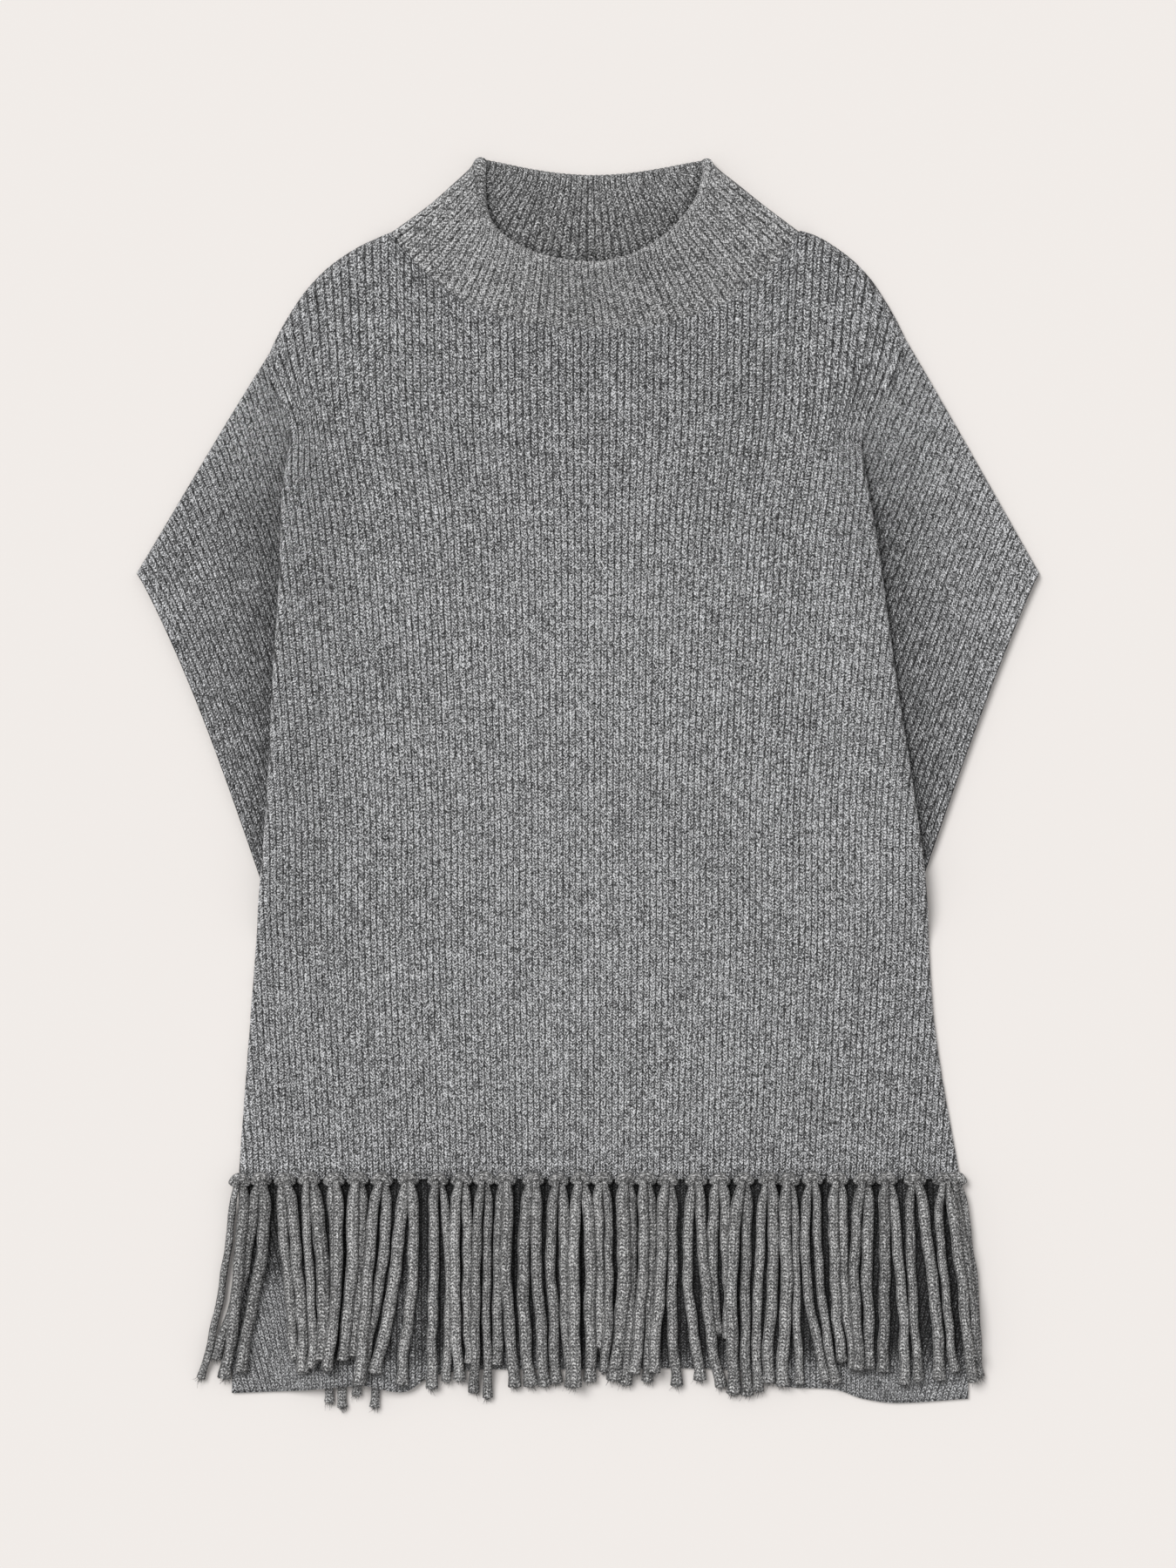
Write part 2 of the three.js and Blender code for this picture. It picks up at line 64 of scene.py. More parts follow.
# The cloth: its wall, and the heights of its middle in the back, the front and the front's side folds
WALL = 2.6
HALF = WALL / 2
BACK_UP, FRONT_UP, FOLD_UP = 1.5, 4.8, 16.5
EDGE_RADIUS = 3.2  # the bend of an edge that turns down
FLAT_RADIUS = 1e-3  # the same where the edge lies flat
RIPPLE = 0.4  # how uneven cloth is that lies on a table
FLOOR_CLEAR = 0.15

# The knit: ribs across each piece, the length that each is knitted, and the body's mesh
WING_RIBS, BACK_RIBS, COLLAR_RIBS = 32, 120, 100
BODY_LONG, WING_LONG, SKIRT_LONG, COLLAR_LONG = 640, 245, 180, 60
BODY_COLUMNS, BODY_ROWS = 560, 74
# The body's ribs spread from the hem to the shoulders: height and pitch
RIB_PITCH = np.array([
    (0, 4.25), (170, 4.42), (270, 4.45), (455, 4.78), (542, 5.15), (600, 5.20),
], float)
# The wool's noise is turned, so that flat cloth cuts across its cells
NOISE_TURN = (0.7, 0.5, 0.3)

# The front body's sides: height above the hem, then the left and right edges
SIDES = np.array([
    (0, -248, 264), (108, -240, 246), (211, -232, 239), (272, -227, 231), (356, -223, 218),
    (438, -218, 207), (494, -218, 200), (539, -221, 205), (589, -227, 220),
], float)
# Where the fold starts, and how the body draws in there
PIVOT, NOTCH, NOTCH_SPREAD, NOTCH_REACH = 539, 10, 38, 24
# Where the ribs start to fan out to the wings, and how far in from the sides
FAN_FOOT, FAN_REACH = 522, 70
# The heights at which the fold rises, stands full and fades, and how far in it sinks
FOLD_FOOT, FOLD_FULL, FOLD_FADE, FOLD_SINK = 165, 201, 498, 60

# The shoulders' outlines, from left to right: place across and height
SHOULDER_GROWS = 12  # how far from the neckline their edge has its full bend
SHOULDER_LEFT = np.array([
    (-237, 571), (-223, 597.5), (-209, 621), (-198, 636), (-184, 650), (-165, 663),
    (-148, 671.0), (-139.8, 674.4),
], float)
SHOULDER_RIGHT = np.array([
    (150.8, 675.6), (164, 671), (178, 662.5), (190, 653), (199, 643.5), (206, 634),
    (217, 616), (227, 597), (234, 583),
], float)

# The wings: their corners, how far the upper edge bows out, and how far the armhole edge bows in
WINGS = {
    "left": {"tip": (-321, 431), "foot": (-230, 204), "top": (-219, 599.5), "hidden": (-202, 522),
             "bow": (-0.8, 0.2), "hollow": 5.5},
    "right": {"tip": (321, 431), "foot": (235, 204), "top": (219, 609), "hidden": (184, 522),
              "bow": (0.6, 0.2), "hollow": -3.2},
}
WING_ROWS = 72
WING_BEND = 0.04  # the share of its rows in the bend at the upper edge
WING_CREST = 4.0  # how high a wing swells between the fold and the armhole
WING_TUCK = 0.3  # how far it is pressed down under the body

# The collar's rings, where it is sewn in and at its rim: their width, and how far the front and the
# back of each hangs below its sides, with the heights over the ground
SEAM = {
    "centre": 5.5, "side": 675.8, "half": 142.5, "front_dip": 69.5, "power": 2.6, "round": (0.87, 0.87),
    "back_dip": 22, "front_up": 9.4, "side_up": 6.6, "back_up": 1.9,
}
RIM = {
    "centre": 4, "side": 722.5, "half": 81, "front_dip": 74.5, "power": 1.8, "round": (0.28, 0.54),
    "back_dip": 10, "front_up": 27, "side_up": 13, "back_up": 2.4,
}
# The shares of the ribs in its front, and of its rows in the outer face and in the lip
COLLAR_FRONT = 56 / COLLAR_RIBS
COLLAR_FACE, COLLAR_LIP = 0.44, 0.12
COLLAR_COLUMNS, COLLAR_ROWS = 6 * COLLAR_RIBS, 56
COLLAR_FLARE = {"left": 0.14, "right": 0.0}  # how hollow its sides are
COLLAR_WAIST = 0.8  # how far they draw in under the rim
COLLAR_TUCK = 0.05  # the share of its height that is tucked under the front
COLLAR_RELIEF = 2.7  # how much bolder its ribs are than the body's
COLLAR_THICK = {"base": 2.2, "front": 6.2, "left": 9.5, "right": 8.0}
STATIONS = (0.3, 0.6, 0.85, 0.97)  # the places across a ring that its curve runs through
CURVE_STEPS = 40  # the curve's points between two of them
# The panels' necklines, just outside the collar's seam, and the front's rise to it
NECK_HALF = SEAM["half"] + 2.8
NECK_ALONG = 0.3
NECK_RISE = 45

# The back panel's lower edge: place across and height
BACK_LOW = np.array([
    (-254, -153), (-208, -151), (-160, -147), (-139, -151.5), (-128, -151), (-116, -143), (-90, -137),
    (0, -136), (110, -137), (138, -148), (176, -150.5), (196, -157), (220, -160), (271, -157),
], float)
BACK_INSET = EDGE_RADIUS + 1.2
# The skirt is the stretch of the back that shows: its top, its ribs' pitch and their lean
SKIRT_TOP, SKIRT_PITCH, SKIRT_SLANT = 30.0, 4.4, 0.30
# Two soft creases at its lower edge: an arch over the back's tips, and a ridge beside it
ARCH_X, ARCH_HALF, ARCH_HEIGHT, ARCH_REACH = -170, 38, 8, 34
RIDGE_X, RIDGE_HALF, RIDGE_HEIGHT = -123, 7, 2.2
# The hidden rest of the back is narrower and shorter than the front, and starts above the hem
HIDDEN_WIDTH, HIDDEN_SHORT, HIDDEN_START = 0.985, 4, 26.0

# The tassels: the knot's place across, then each strand's middle, tip and lower end, and which
# strand lies under its neighbours
TASSELS = (
    (-248, -261, -276, -142, -250, -258, -142, "b"),
    (-233, -247, -265, -128, -236, -249, -137, "a"),
    (-216, -214, -208, -128, -206, -202, -137, "a"),
    (-199, -198, -196, -132, -189, -188, -128, ""),
    (-181, -180, -185, -130, -179, -184, -134, "a"),
    (-164, -169, -174, -129, -163, -166, -126, "b"),
    (-147, -158, -162, -145, -149, -162, -143, ""),
    (-128, -139, -151, -138, -126, -133, -146, ""),
    (-107, -110, -111, -149, -99, -100, -144, ""),
    (-90, -95, -91, -143, -86, -85, -131, "b"),
    (-74, -80, -82, -152, -72, -72, -156, ""),
    (-59, -64, -66, -132, -58, -53, -148, "a"),
    (-39, -46, -41, -147, -36, -30, -147, ""),
    (-21, -26, -22, -145, -16, -13, -148, ""),
    (-5, -10, -10, -147, 2, 1, -144, ""),
    (10, 8, 8, -120, 15, 12, -137, "a"),
    (27, 25, 20, -143, 31, 27, -146, "b"),
    (41, 39, 32, -138, 45, 41, -144, ""),
    (57, 51, 47, -137, 60, 62, -147, ""),
    (77, 72, 79, -143, 84, 94, -148, ""),
    (94, 89, 91, -110, 99, 101, -113, "ab"),
    (111, 102, 103, -153, 112, 114, -154, ""),
    (129, 121, 120, -151, 131, 128, -145, ""),
    (143, 141, 139, -147, 149, 151, -146, ""),
    (160, 157, 170, -144, 166, 177, -145, ""),
    (178, 176, 181, -130, 183, 189, -135, ""),
    (197, 190, 192, -135, 199, 200, -135, ""),
    (213, 212, 209, -137, 223, 227, -146, ""),
    (233, 231, 237, -144, 246, 252, -143, ""),
    (253, 254, 262, -137, 266, 274, -143, ""),
    (262, 271, 277, -128, 275, 280, -141, "ab"),
)
# The widths of each tassel's two strands
STRAND_WIDTHS = (
    (5.3, 7.9), (8.1, 8.7), (7.5, 8.1), (6.3, 10.2), (7.4, 7.4), (8.7, 8.0), (7.8, 7.8), (8.7, 7.7),
    (7.4, 6.3), (7.5, 7.5), (6.8, 6.3), (7.4, 8.1), (8.6, 8.0), (7.4, 8.1), (8.1, 8.1), (7.8, 6.2),
    (9.8, 7.9), (7.6, 7.4), (7.9, 7.4), (7.4, 7.5), (7.8, 7.8), (8.6, 7.4), (6.8, 8.1), (8.6, 5.8),
    (6.8, 6.3), (7.4, 7.4), (7.5, 8.1), (8.1, 7.4), (6.8, 8.1), (6.3, 7.4), (6.9, 5.6),
)
STRAND_USUAL = 8.0
STRAND_ROOT = 3.6  # from the knot's middle to each strand's root
# How flat a strand lies, how far its cut end flares, and the stops of painted shade down its sides
STRAND_FLAT, STRAND_FLARE, STRAND_SHADE = 0.82, 0.24, 1.15
STRAND_POINTS, STRAND_SIDES, STRAND_WALES = 46, 12, 5
# The knots at the hem, the stops of painted shade down their sides, and how far each draws the hem down
KNOT_HALF, KNOT_GIRTH, KNOT_SHADE = 4.9, 7.2, 0.4
SCALLOP_DEPTH, SCALLOP_HALF, SCALLOP_REACH = 2.4, 4.5, 6
# The back's fringe: the knot, tip and end of each tip that shows
BACK_TIPS = ((-185, -185, -159), (-175, -175, -163), (-165, -165, -154), (-152, -152, -163))
TIP_TOP, TIP_UP, TIP_GIRTH, TIP_POINTS = -132, 2.9, 6.4, 16
# The loose fibres at each cut end
FRAYS_EACH, FRAY_LONG = 32, 3.6
FRAY_GIRTHS = (0.42, 0.4, 0.34, 0.16)

# Stops of shade on the back behind the fringe, inside the neck and under the collar's lip, and of
# light on the lip
FRINGE_SHADE, NECK_SHADE = 3.0, 0.42
LIP_SHADE, LIP_REACH = 0.85, 6.5
LIP_LIGHT, LIP_PLACE, LIP_SPREAD = 0.15, 0.47, 0.06

# The stage, in metres: the ground's side, and the view's height, its middle above the hem, and the
# level at which it has that height
GROUND_SIDE = 12
VIEW_HEIGHT, VIEW_MIDDLE, VIEW_LEVEL = 1.116, 0.28148, 0.01
LENS, SENSOR = 100, 36
KEY_FROM = (-0.62, 0.60, 1.30)


class YarnSettings(PropertyGroup):
    """The sizes and colours that a user would change."""

    rib_height: FloatProperty(
        name="Rib Height", description="How far a rib stands over the valley beside it",
        default=0.0002, min=0.0, max=0.003, unit="LENGTH")
    rib_samples: IntProperty(
        name="Rib Columns", description="Columns of the mesh across each rib", default=4, min=2, max=8)
    strand_width: FloatProperty(
        name="Strand Width", description="Usual width of a fringe strand", default=0.0080, unit="LENGTH")
    stitch_pitch: FloatProperty(
        name="Stitch Pitch", description="Height of one stitch along a rib", default=0.00235, unit="LENGTH")
    knit_grey: FloatVectorProperty(
        name="Knit", description="Colour of the body's yarn", subtype="COLOR",
        default=(0.280, 0.282, 0.287), min=0.0, max=1.0)
    collar_grey: FloatVectorProperty(
        name="Collar", description="Colour of the collar's yarn", subtype="COLOR",
        default=(0.272, 0.272, 0.273), min=0.0, max=1.0)
    inner_grey: FloatVectorProperty(
        name="Inner Face", description="Colour of the cloth's inner face", subtype="COLOR",
        default=(0.246, 0.247, 0.251), min=0.0, max=1.0)
    fringe_grey: FloatVectorProperty(
        name="Fringe", description="Colour of the fringe's yarn", subtype="COLOR",
        default=(0.270, 0.268, 0.266), min=0.0, max=1.0)
    floor_colour: FloatVectorProperty(
        name="Floor", description="Colour of the ground", subtype="COLOR",
        default=(0.875, 0.835, 0.805), min=0.0, max=1.0)
    key_power: FloatProperty(
        name="Key Light", description="Strength of the key light", default=1.95, min=0.0)
    key_spread: FloatProperty(
        name="Key Spread", description="How wide and so how soft the key light is",
        default=0.55, unit="ROTATION")
    sky_strength: FloatProperty(
        name="Sky", description="Strength of the light from all round", default=0.49, min=0.0)


def mix(a, b, share):
    """The value that lies a share of the way from a to b."""
    return a + (b - a) * share


def smooth(low, high, value):
    """An even rise from 0 at low to 1 at high."""
    share = np.clip((value - low) / (high - low), 0, 1)
    return share * share * (3 - 2 * share)


def read(table, column, at):
    """A column of a table, read at any places of its first column, along a smooth curve."""
    keys, values = table[:, 0], table[:, column]
    slopes = np.gradient(values, keys)
    slopes[1:-1] = (values[2:] - values[:-2]) / (keys[2:] - keys[:-2])
    at = np.clip(at, keys[0], keys[-1])
    i = np.clip(np.searchsorted(keys, at, side="right") - 1, 0, len(keys) - 2)
    span = keys[i + 1] - keys[i]
    s = (at - keys[i]) / span
    straight = mix(values[i], values[i + 1], s * s * (3 - 2 * s))
    return straight + span * s * (1 - s) * (slopes[i] * (1 - s) - slopes[i + 1] * s)


def dip(ring, across):
    """How far the front of a ring hangs, from 0 at its sides to 1 in the middle."""
    share = np.clip(np.abs(across), 0, 1) ** ring["power"]
    return (1 - share) ** np.where(across < 0, ring["round"][0], ring["round"][1])


def front_neckline(x):
    """The height of the front's neckline, which meets the shoulders at its ends."""
    across = (x - SEAM["centre"]) / NECK_HALF
    raised = np.where(x < SEAM["centre"], SHOULDER_LEFT[-1, 1], SHOULDER_RIGHT[0, 1]) - SEAM["side"]
    edge = SEAM["side"] - (SEAM["front_dip"] + NECK_ALONG) * dip(SEAM, across)
    return edge + raised * smooth(0.92, 1, np.abs(across))


def back_neckline(x):
    """The height of the back's neckline."""
    across = np.clip(np.abs(x - SEAM["centre"]) / NECK_HALF, 0, 1)
    return SEAM["side"] - (SEAM["back_dip"] + 1.1) * (1 - across**2)


def ring_up(ring, across):
    """How high the front of a ring stands over the ground."""
    return mix(ring["side_up"], ring["front_up"], 1 - across * across)


def shoulder_edge(x):
    """The height of the shoulders' outline."""
    return np.where(x < SEAM["centre"], read(SHOULDER_LEFT, 1, x), read(SHOULDER_RIGHT, 1, x))


def body_surface(u, v, neckline, up, folded):
    """The middle of a body panel, u from its left edge, v from the hem up, and the rib at each place."""
    # Where each column ends at the shoulders, with the outer ribs fanned out
    near = np.minimum(u, 1 - u) * (SHOULDER_RIGHT[-1, 0] - SHOULDER_LEFT[0, 0])
    fan_top = np.where(u < 0.5, SIDES[-1, 1] - SHOULDER_LEFT[0, 0], SHOULDER_RIGHT[-1, 0] - SIDES[-1, 2])
    fade = np.exp(-((near / FAN_REACH) ** 2))
    rough = mix(SIDES[-1, 1], SIDES[-1, 2], u) + np.where(u < 0.5, -fan_top, fan_top) * fade
    past = np.abs(rough - SEAM["centre"]) - NECK_HALF
    top = np.where(past < 0, neckline(rough), shoulder_edge(rough))
    # Up each column the cloth lies flat, then bends down over the shoulder's edge
    curl = np.maximum(EDGE_RADIUS * smooth(0, SHOULDER_GROWS, past) * folded, FLAT_RADIUS)
    length = top + (math.pi / 2 - 1) * curl
    run = v * length
    bend = np.clip(run - (length - math.pi / 2 * curl), 0, None) / curl
    y = np.where(bend > 0, top - curl * (1 - np.sin(bend)), run)
    over = curl * (1 - np.cos(bend))
    # Across each row it bends down along the fold, and draws in at the notch
    notch = NOTCH * np.exp(-(((y - PIVOT) / NOTCH_SPREAD) ** 2))
    fan = fan_top * fade * np.clip((y - FAN_FOOT) / (top - FAN_FOOT), 0, 1) ** 1.5
    left, right = read(SIDES, 1, y), read(SIDES, 2, y)
    lip = np.maximum(EDGE_RADIUS * (1 - smooth(FOLD_FADE, PIVOT, y)) * folded, FLAT_RADIUS)
    arc = math.pi / 2 * lip
    width = right - left + 2 * (arc - lip)
    near = np.minimum(u, 1 - u) * width
    turned = near < arc
    angle = np.minimum(near / lip, math.pi / 2)
    reach = np.where(turned, lip * (1 - np.cos(angle)), near - arc + lip)
    inward = reach + notch * np.exp(-((near / NOTCH_REACH) ** 2)) - fan
    x = np.where(u < 0.5, left + inward, right - inward)
    rib = np.where(u < 0.5, left + reach, right - reach) / read(RIB_PITCH, 1, y)
    # The fold stands over the wing, and the neckline rises to the collar
    full = (FOLD_UP - FRONT_UP) * smooth(FOLD_FOOT, FOLD_FULL, y) * (1 - smooth(FOLD_FADE, PIVOT, y))
    lift = full * (1 - smooth(0, FOLD_SINK, reach)) * folded
    down = np.where(turned, lip * (1 - np.sin(angle)), 0)
    across = np.abs(x - SEAM["centre"]) / NECK_HALF
    close = 1 - smooth(0, NECK_RISE, front_neckline(x) - y)
    rise = (ring_up(SEAM, np.minimum(across, 1)) - FRONT_UP) * close * (1 - smooth(1, 1.2, across))
    return x, y, up + lift + rise * folded - down - over, rib


def front_surface(u, v):
    """The middle of the front body's cloth, with its hem drawn down at the knots."""
    x, y, z, _ = body_surface(u, v, front_neckline, FRONT_UP, 1)
    return x, y - hem_scallop(x) * np.exp(-((y / SCALLOP_REACH) ** 2)), z + ripple(x, y)


def front_ribs(u, v):
    """Which rib each place on the front body is on."""
    return body_surface(u, v, front_neckline, FRONT_UP, 1)[3]


def hem_scallop(x):
    """How far the hem is drawn down at each knot."""
    knots = np.array([row[0] for row in TASSELS], float)
    return SCALLOP_DEPTH * np.exp(-(((x[..., None] - knots) / SCALLOP_HALF) ** 2)).max(axis=-1)


def ripple(x, y):
    """The slight unevenness of cloth that lies on a table."""
    soft = np.sin(x / 47 + 0.6 * np.sin(y / 90)) * np.sin(y / 71 + 1.3) + 0.6 * np.sin(x / 23 - y / 39)
    return RIPPLE * soft


def wing_surface(side, up, rolled):
    """The middle of a wing: u from the armhole edge inward, v from the shoulder edge down."""
    wing = WINGS[side]

    def surface(u, v):
        # Each column runs from the upper edge to the side that is hidden under the body
        bow = np.sin(math.pi * u**1.4) * rolled
        start = [mix(wing["tip"][k], wing["top"][k], u) + wing["bow"][k] * bow for k in (0, 1)]
        end = [mix(wing["foot"][k], wing["hidden"][k], u) for k in (0, 1)]
        length = np.hypot(end[0] - start[0], end[1] - start[1])
        # It is bent down at the upper edge, and lies flat below it
        turn = math.pi / 2 * np.minimum(v, WING_BEND) / WING_BEND
        flat = (length - EDGE_RADIUS) * np.clip(v - WING_BEND, 0, None) / (1 - WING_BEND)
        along = (EDGE_RADIUS * (1 - np.cos(turn)) + flat) / length
        down = EDGE_RADIUS * (1 - np.sin(turn)) * rolled
        hollow = wing["hollow"] * np.sin(math.pi * np.clip(along, 0, 1) ** 0.75) * (1 - u) ** 2
        x, y = mix(start[0], end[0], along) + hollow, mix(start[1], end[1], along)
        # It swells a little, and is pressed flat where the body lies on it
        crest = WING_CREST * np.sin(math.pi * np.clip(u / 0.7, 0, 1)) ** 2
        crest = crest * smooth(0.03, 0.35, v) * (1 - smooth(0.75, 1, v))
        tuck = WING_TUCK * smooth(0.85, 0.95, u)
        return x, y, up + (crest - tuck + 0.5 * ripple(x, y)) * rolled - down

    return surface


def low_edge(x):
    """The height of the back's lower edge."""
    return read(BACK_LOW, 1, x)


def arch_lift(x, y):
    """How high the arch lifts the back's lower edge off the ground."""
    across = np.exp(-(((x - ARCH_X) / ARCH_HALF) ** 4))
    return ARCH_HEIGHT * across * (1 - smooth(0, ARCH_REACH, y - low_edge(x)))


def skirt_surface(u, v):
    """The back panel's inner face below the front hem."""
    x_low = mix(BACK_LOW[0, 0], BACK_LOW[-1, 0], u)
    y = mix(SKIRT_TOP, low_edge(x_low), v)
    spread = smooth(0.3, 0.85, v)
    hem = (SIDES[0, 1] + BACK_INSET, SIDES[0, 2] - BACK_INSET)
    x = mix(mix(hem[0], BACK_LOW[0, 0], spread), mix(hem[1], BACK_LOW[-1, 0], spread), u)
    ridge = RIDGE_HEIGHT * np.exp(-(((x - RIDGE_X) / RIDGE_HALF) ** 2)) * smooth(0.55, 0.9, v)
    return x, y, BACK_UP + arch_lift(x, y) + ridge


def skirt_ribs(u, v):
    """Which rib a place on the skirt is on; the ribs lean in towards both lower corners."""
    x, y, _ = skirt_surface(u, v)
    corner = (1 - smooth(-235, -165, x)) - smooth(180, 245, x)
    return (x - SKIRT_SLANT * np.clip(-SKIRT_TOP - y, 0, None) * corner) / SKIRT_PITCH


def sag(across):
    """How far the back of a ring hangs, from 0 at its sides to 1 in the middle."""
    return np.cos(across * math.pi / 2) ** 1.2


def collar_ring(ring):
    """A closed curve from the ring's left side along the front and back again, as a function."""
    front = np.concatenate([-np.array(STATIONS)[::-1], [0.0], STATIONS])
    side_up = (ring["side_up"] + ring["back_up"]) / 2
    rows = [(-1.0, ring["side"], side_up)]
    rows += [(t, ring["side"] - ring["front_dip"] * dip(ring, t), ring_up(ring, t)) for t in front]
    rows += [(1.0, ring["side"], side_up)]
    rows += [(t, ring["side"] - ring["back_dip"] * sag(t), ring["back_up"]) for t in front[::-1]]
    points = np.array([(ring["centre"] + t * ring["half"], y, z) for t, y, z in rows])
    curve = closed_curve(points, CURVE_STEPS)
    loop = np.vstack([curve, curve[:1]])
    lengths = np.concatenate([[0], np.cumsum(np.linalg.norm(np.diff(loop, axis=0), axis=1))])
    half = lengths[len(curve) // 2] / lengths[-1]

    def at(u):
        turn = np.mod(u, 1.0)
        share = np.where(
            turn < COLLAR_FRONT,
            turn / COLLAR_FRONT * half,
            mix(half, 1, (turn - COLLAR_FRONT) / (1 - COLLAR_FRONT)),
        )
        return [np.interp(share * lengths[-1], lengths, loop[:, k]) for k in range(3)]

    return at


def closed_curve(points, steps):
    """A centripetal Catmull-Rom curve round a loop of points."""
    count = len(points)
    made = []
    for i in range(count):
        p = [points[(i + k) % count] for k in (-1, 0, 1, 2)]
        t = [0.0]
        for a, b in zip(p, p[1:]):
            t.append(t[-1] + max(np.linalg.norm(b - a), 1e-6) ** 0.5)
        for at in np.linspace(t[1], t[2], steps, endpoint=False):
            level = list(p)
            for width, first in ((1, 0), (2, 0), (1, 1)):
                level = [
                    mix(level[k], level[k + 1], (at - t[first + k]) / (t[first + k + width] - t[first + k]))
                    for k in range(len(level) - 1)
                ]
            made.append(level[0])
    return np.array(made)


def grid_mesh(name, columns, rows):
    """A flat grid's mesh, with each point's place across and along it from 0 to 1."""
    bm = bmesh.new()
    bm.loops.layers.uv.new("knit")
    bmesh.ops.create_grid(bm, x_segments=columns, y_segments=rows, size=0.5, calc_uvs=True)
    mesh = bpy.data.meshes.new(name)
    bm.to_mesh(mesh)
    bm.free()
    flat = np.empty(len(mesh.vertices) * 3)
    mesh.vertices.foreach_get("co", flat)
    return mesh, flat[0::3] + 0.5, flat[1::3] + 0.5


def lay(mesh, x, y, z):
    """Lays a mesh's points at places in millimetres from the hem."""
    mesh.vertices.foreach_set("co", np.column_stack([x * MM, y * MM + HEM, z * MM]).ravel())
    mesh.update()


def map_knit(mesh, ribs, courses):
    """Gives each point its rib and its stitch, for the yarn's material."""
    corner = np.empty(len(mesh.loops), int)
    mesh.loops.foreach_get("vertex_index", corner)
    mesh.uv_layers["knit"].data.foreach_set("uv", np.column_stack([ribs[corner], courses[corner]]).ravel())


def paint(mesh, tone_and_shade):
    """Gives each point its painted light and shade, with a random tone on the fringe, in stops lighter or
    darker than the yarn's colour.
    """
    mesh.attributes.new("tone_and_shade", "FLOAT", "POINT").data.foreach_set("value", tone_and_shade.astype(np.float32))


def show(name, mesh):
    """Puts a mesh, a light or a camera in the scene."""
    obj = bpy.data.objects.new(name, mesh)
    bpy.context.scene.collection.objects.link(obj)
    return obj


def knit_sheet(name, columns, rows, surface, ribs, courses, tone_and_shade=None):
    """A sheet laid on a surface; ribs gives the rib at each place, courses how many stitches long it is."""
    mesh, u, v = grid_mesh(name, columns, rows)
    x, y, z = surface(u, v)
    lay(mesh, x, y, z)
    map_knit(mesh, ribs(u, v), v * courses)
    if tone_and_shade is not None:
        paint(mesh, tone_and_shade(x, y))
    return show(name, mesh)


def body_painted_shade(x, y):
    """Painted shade: a little darker all over, more on the shoulders and near the hem, and less down the
    middle.
    """
    middle = np.exp(-(((x - 5) / 90) ** 2)) * smooth(50, 150, y) * (1 - smooth(420, 520, y))
    return 0.06 * middle - 0.06 - 0.20 * smooth(400, 560, y) - 0.06 * (1 - smooth(0, 160, y))


def wing_shade_and_light(x, y):
    """Painted shade in the hollow beside the body's fold, where the fold shades the wing, fading towards
    the armhole edge; painted light on the right wing, and painted shade low on the left one.
    """
    edge = np.where(x < 0, read(SIDES, 1, y) - x, x - read(SIDES, 2, y))
    deep = np.where(x < 0, 0.5, 0.95)
    shaded = 0.25 - 0.25 * smooth(40, 90, edge) + deep * np.exp(-((np.clip(edge, 0, None) / 26) ** 2))
    near_side = np.where(x < 0, 0.20 * (1 - smooth(470, 560, y)), -0.10)
    return -shaded * (1 - smooth(FOLD_FADE - 45, PIVOT + 15, y)) - near_side


def skirt_painted_shade(x, y):
    """Painted shade behind the fringe, where the strands shade the back, except low down, at the open left
    corner and where strands part.
    """
    corner = (1 - smooth(-212, -165, x)) * smooth(-35, -90, y)
    parted = 0.6 * np.exp(-(((x + 130) / 20) ** 2)) * smooth(-50, -100, y)
    return -FRINGE_SHADE * (1 - np.maximum(smooth(-112, -142, y), np.maximum(corner, parted)))


def collar_shade_and_highlight(x, y, u, w):
    """Painted shade down inside the neck, most of all close under the front's lip, which shades it; a
    painted highlight on the lip.
    """
    across = np.linspace(-1, 1, 121)
    lip_x = RIM["centre"] + RIM["half"] * across
    lip_y = RIM["side"] - RIM["front_dip"] * dip(RIM, across) + COLLAR_THICK["front"] / 2
    apart = np.hypot(x[:, None] - lip_x, y[:, None] - lip_y).min(axis=1)
    inside = np.where((w > 0.5) & (u > COLLAR_FRONT), 1.0, 0.0)
    lip = np.exp(-(((w - LIP_PLACE) / LIP_SPREAD) ** 2)) * (1 - inside)
    return LIP_LIGHT * lip - inside * (NECK_SHADE + LIP_SHADE * np.exp(-((apart / LIP_REACH) ** 2)))


def normals_of(surface, u, v, looped=False):
    """A surface's normals, and its directions up the columns."""
    step = 1e-4
    low_u, high_u = (u - step, u + step) if looped else (np.clip(u - step, 0, 1), np.clip(u + step, 0, 1))
    du = np.array(surface(high_u, v)) - np.array(surface(low_u, v))
    dv = np.array(surface(u, np.clip(v + step, 0, 1))) - np.array(surface(u, np.clip(v - step, 0, 1)))
    normal = np.cross(du.T, dv.T)
    normal /= np.maximum(np.linalg.norm(normal, axis=1, keepdims=True), 1e-12)
    return normal.T, dv / np.maximum(np.linalg.norm(dv, axis=0), 1e-12)


def rib_profile(rib):
    """How high a rib stands, from 0 in the valley beside it to 1 on its crest."""
    return 1 - (2 * np.abs(np.mod(rib, 1.0) - 0.5)) ** 2.4


def raise_ribs(surface, ribs, outward):
    """The same surface with ribs raised on it along its normal."""

    def ribbed(u, v):
        normal, _ = normals_of(surface, u, v)
        return np.array(surface(u, v)) + normal * outward * height_mm() * rib_profile(ribs(u, v))

    return ribbed


def face_up(obj, up=True):
    """Turns a sheet's faces so that most of them look up, or down."""
    mesh = obj.data
    facing = sum(face.normal.z * face.area for face in mesh.polygons)
    if (facing > 0) != up:
        mesh.flip_normals()


def thicken(obj):
    """Gives a sheet the cloth's wall, half on each side."""
    solid = obj.modifiers.new("wall", "SOLIDIFY")
    solid.thickness = WALL * MM
    solid.offset = 0.0
    solid.use_rim = True


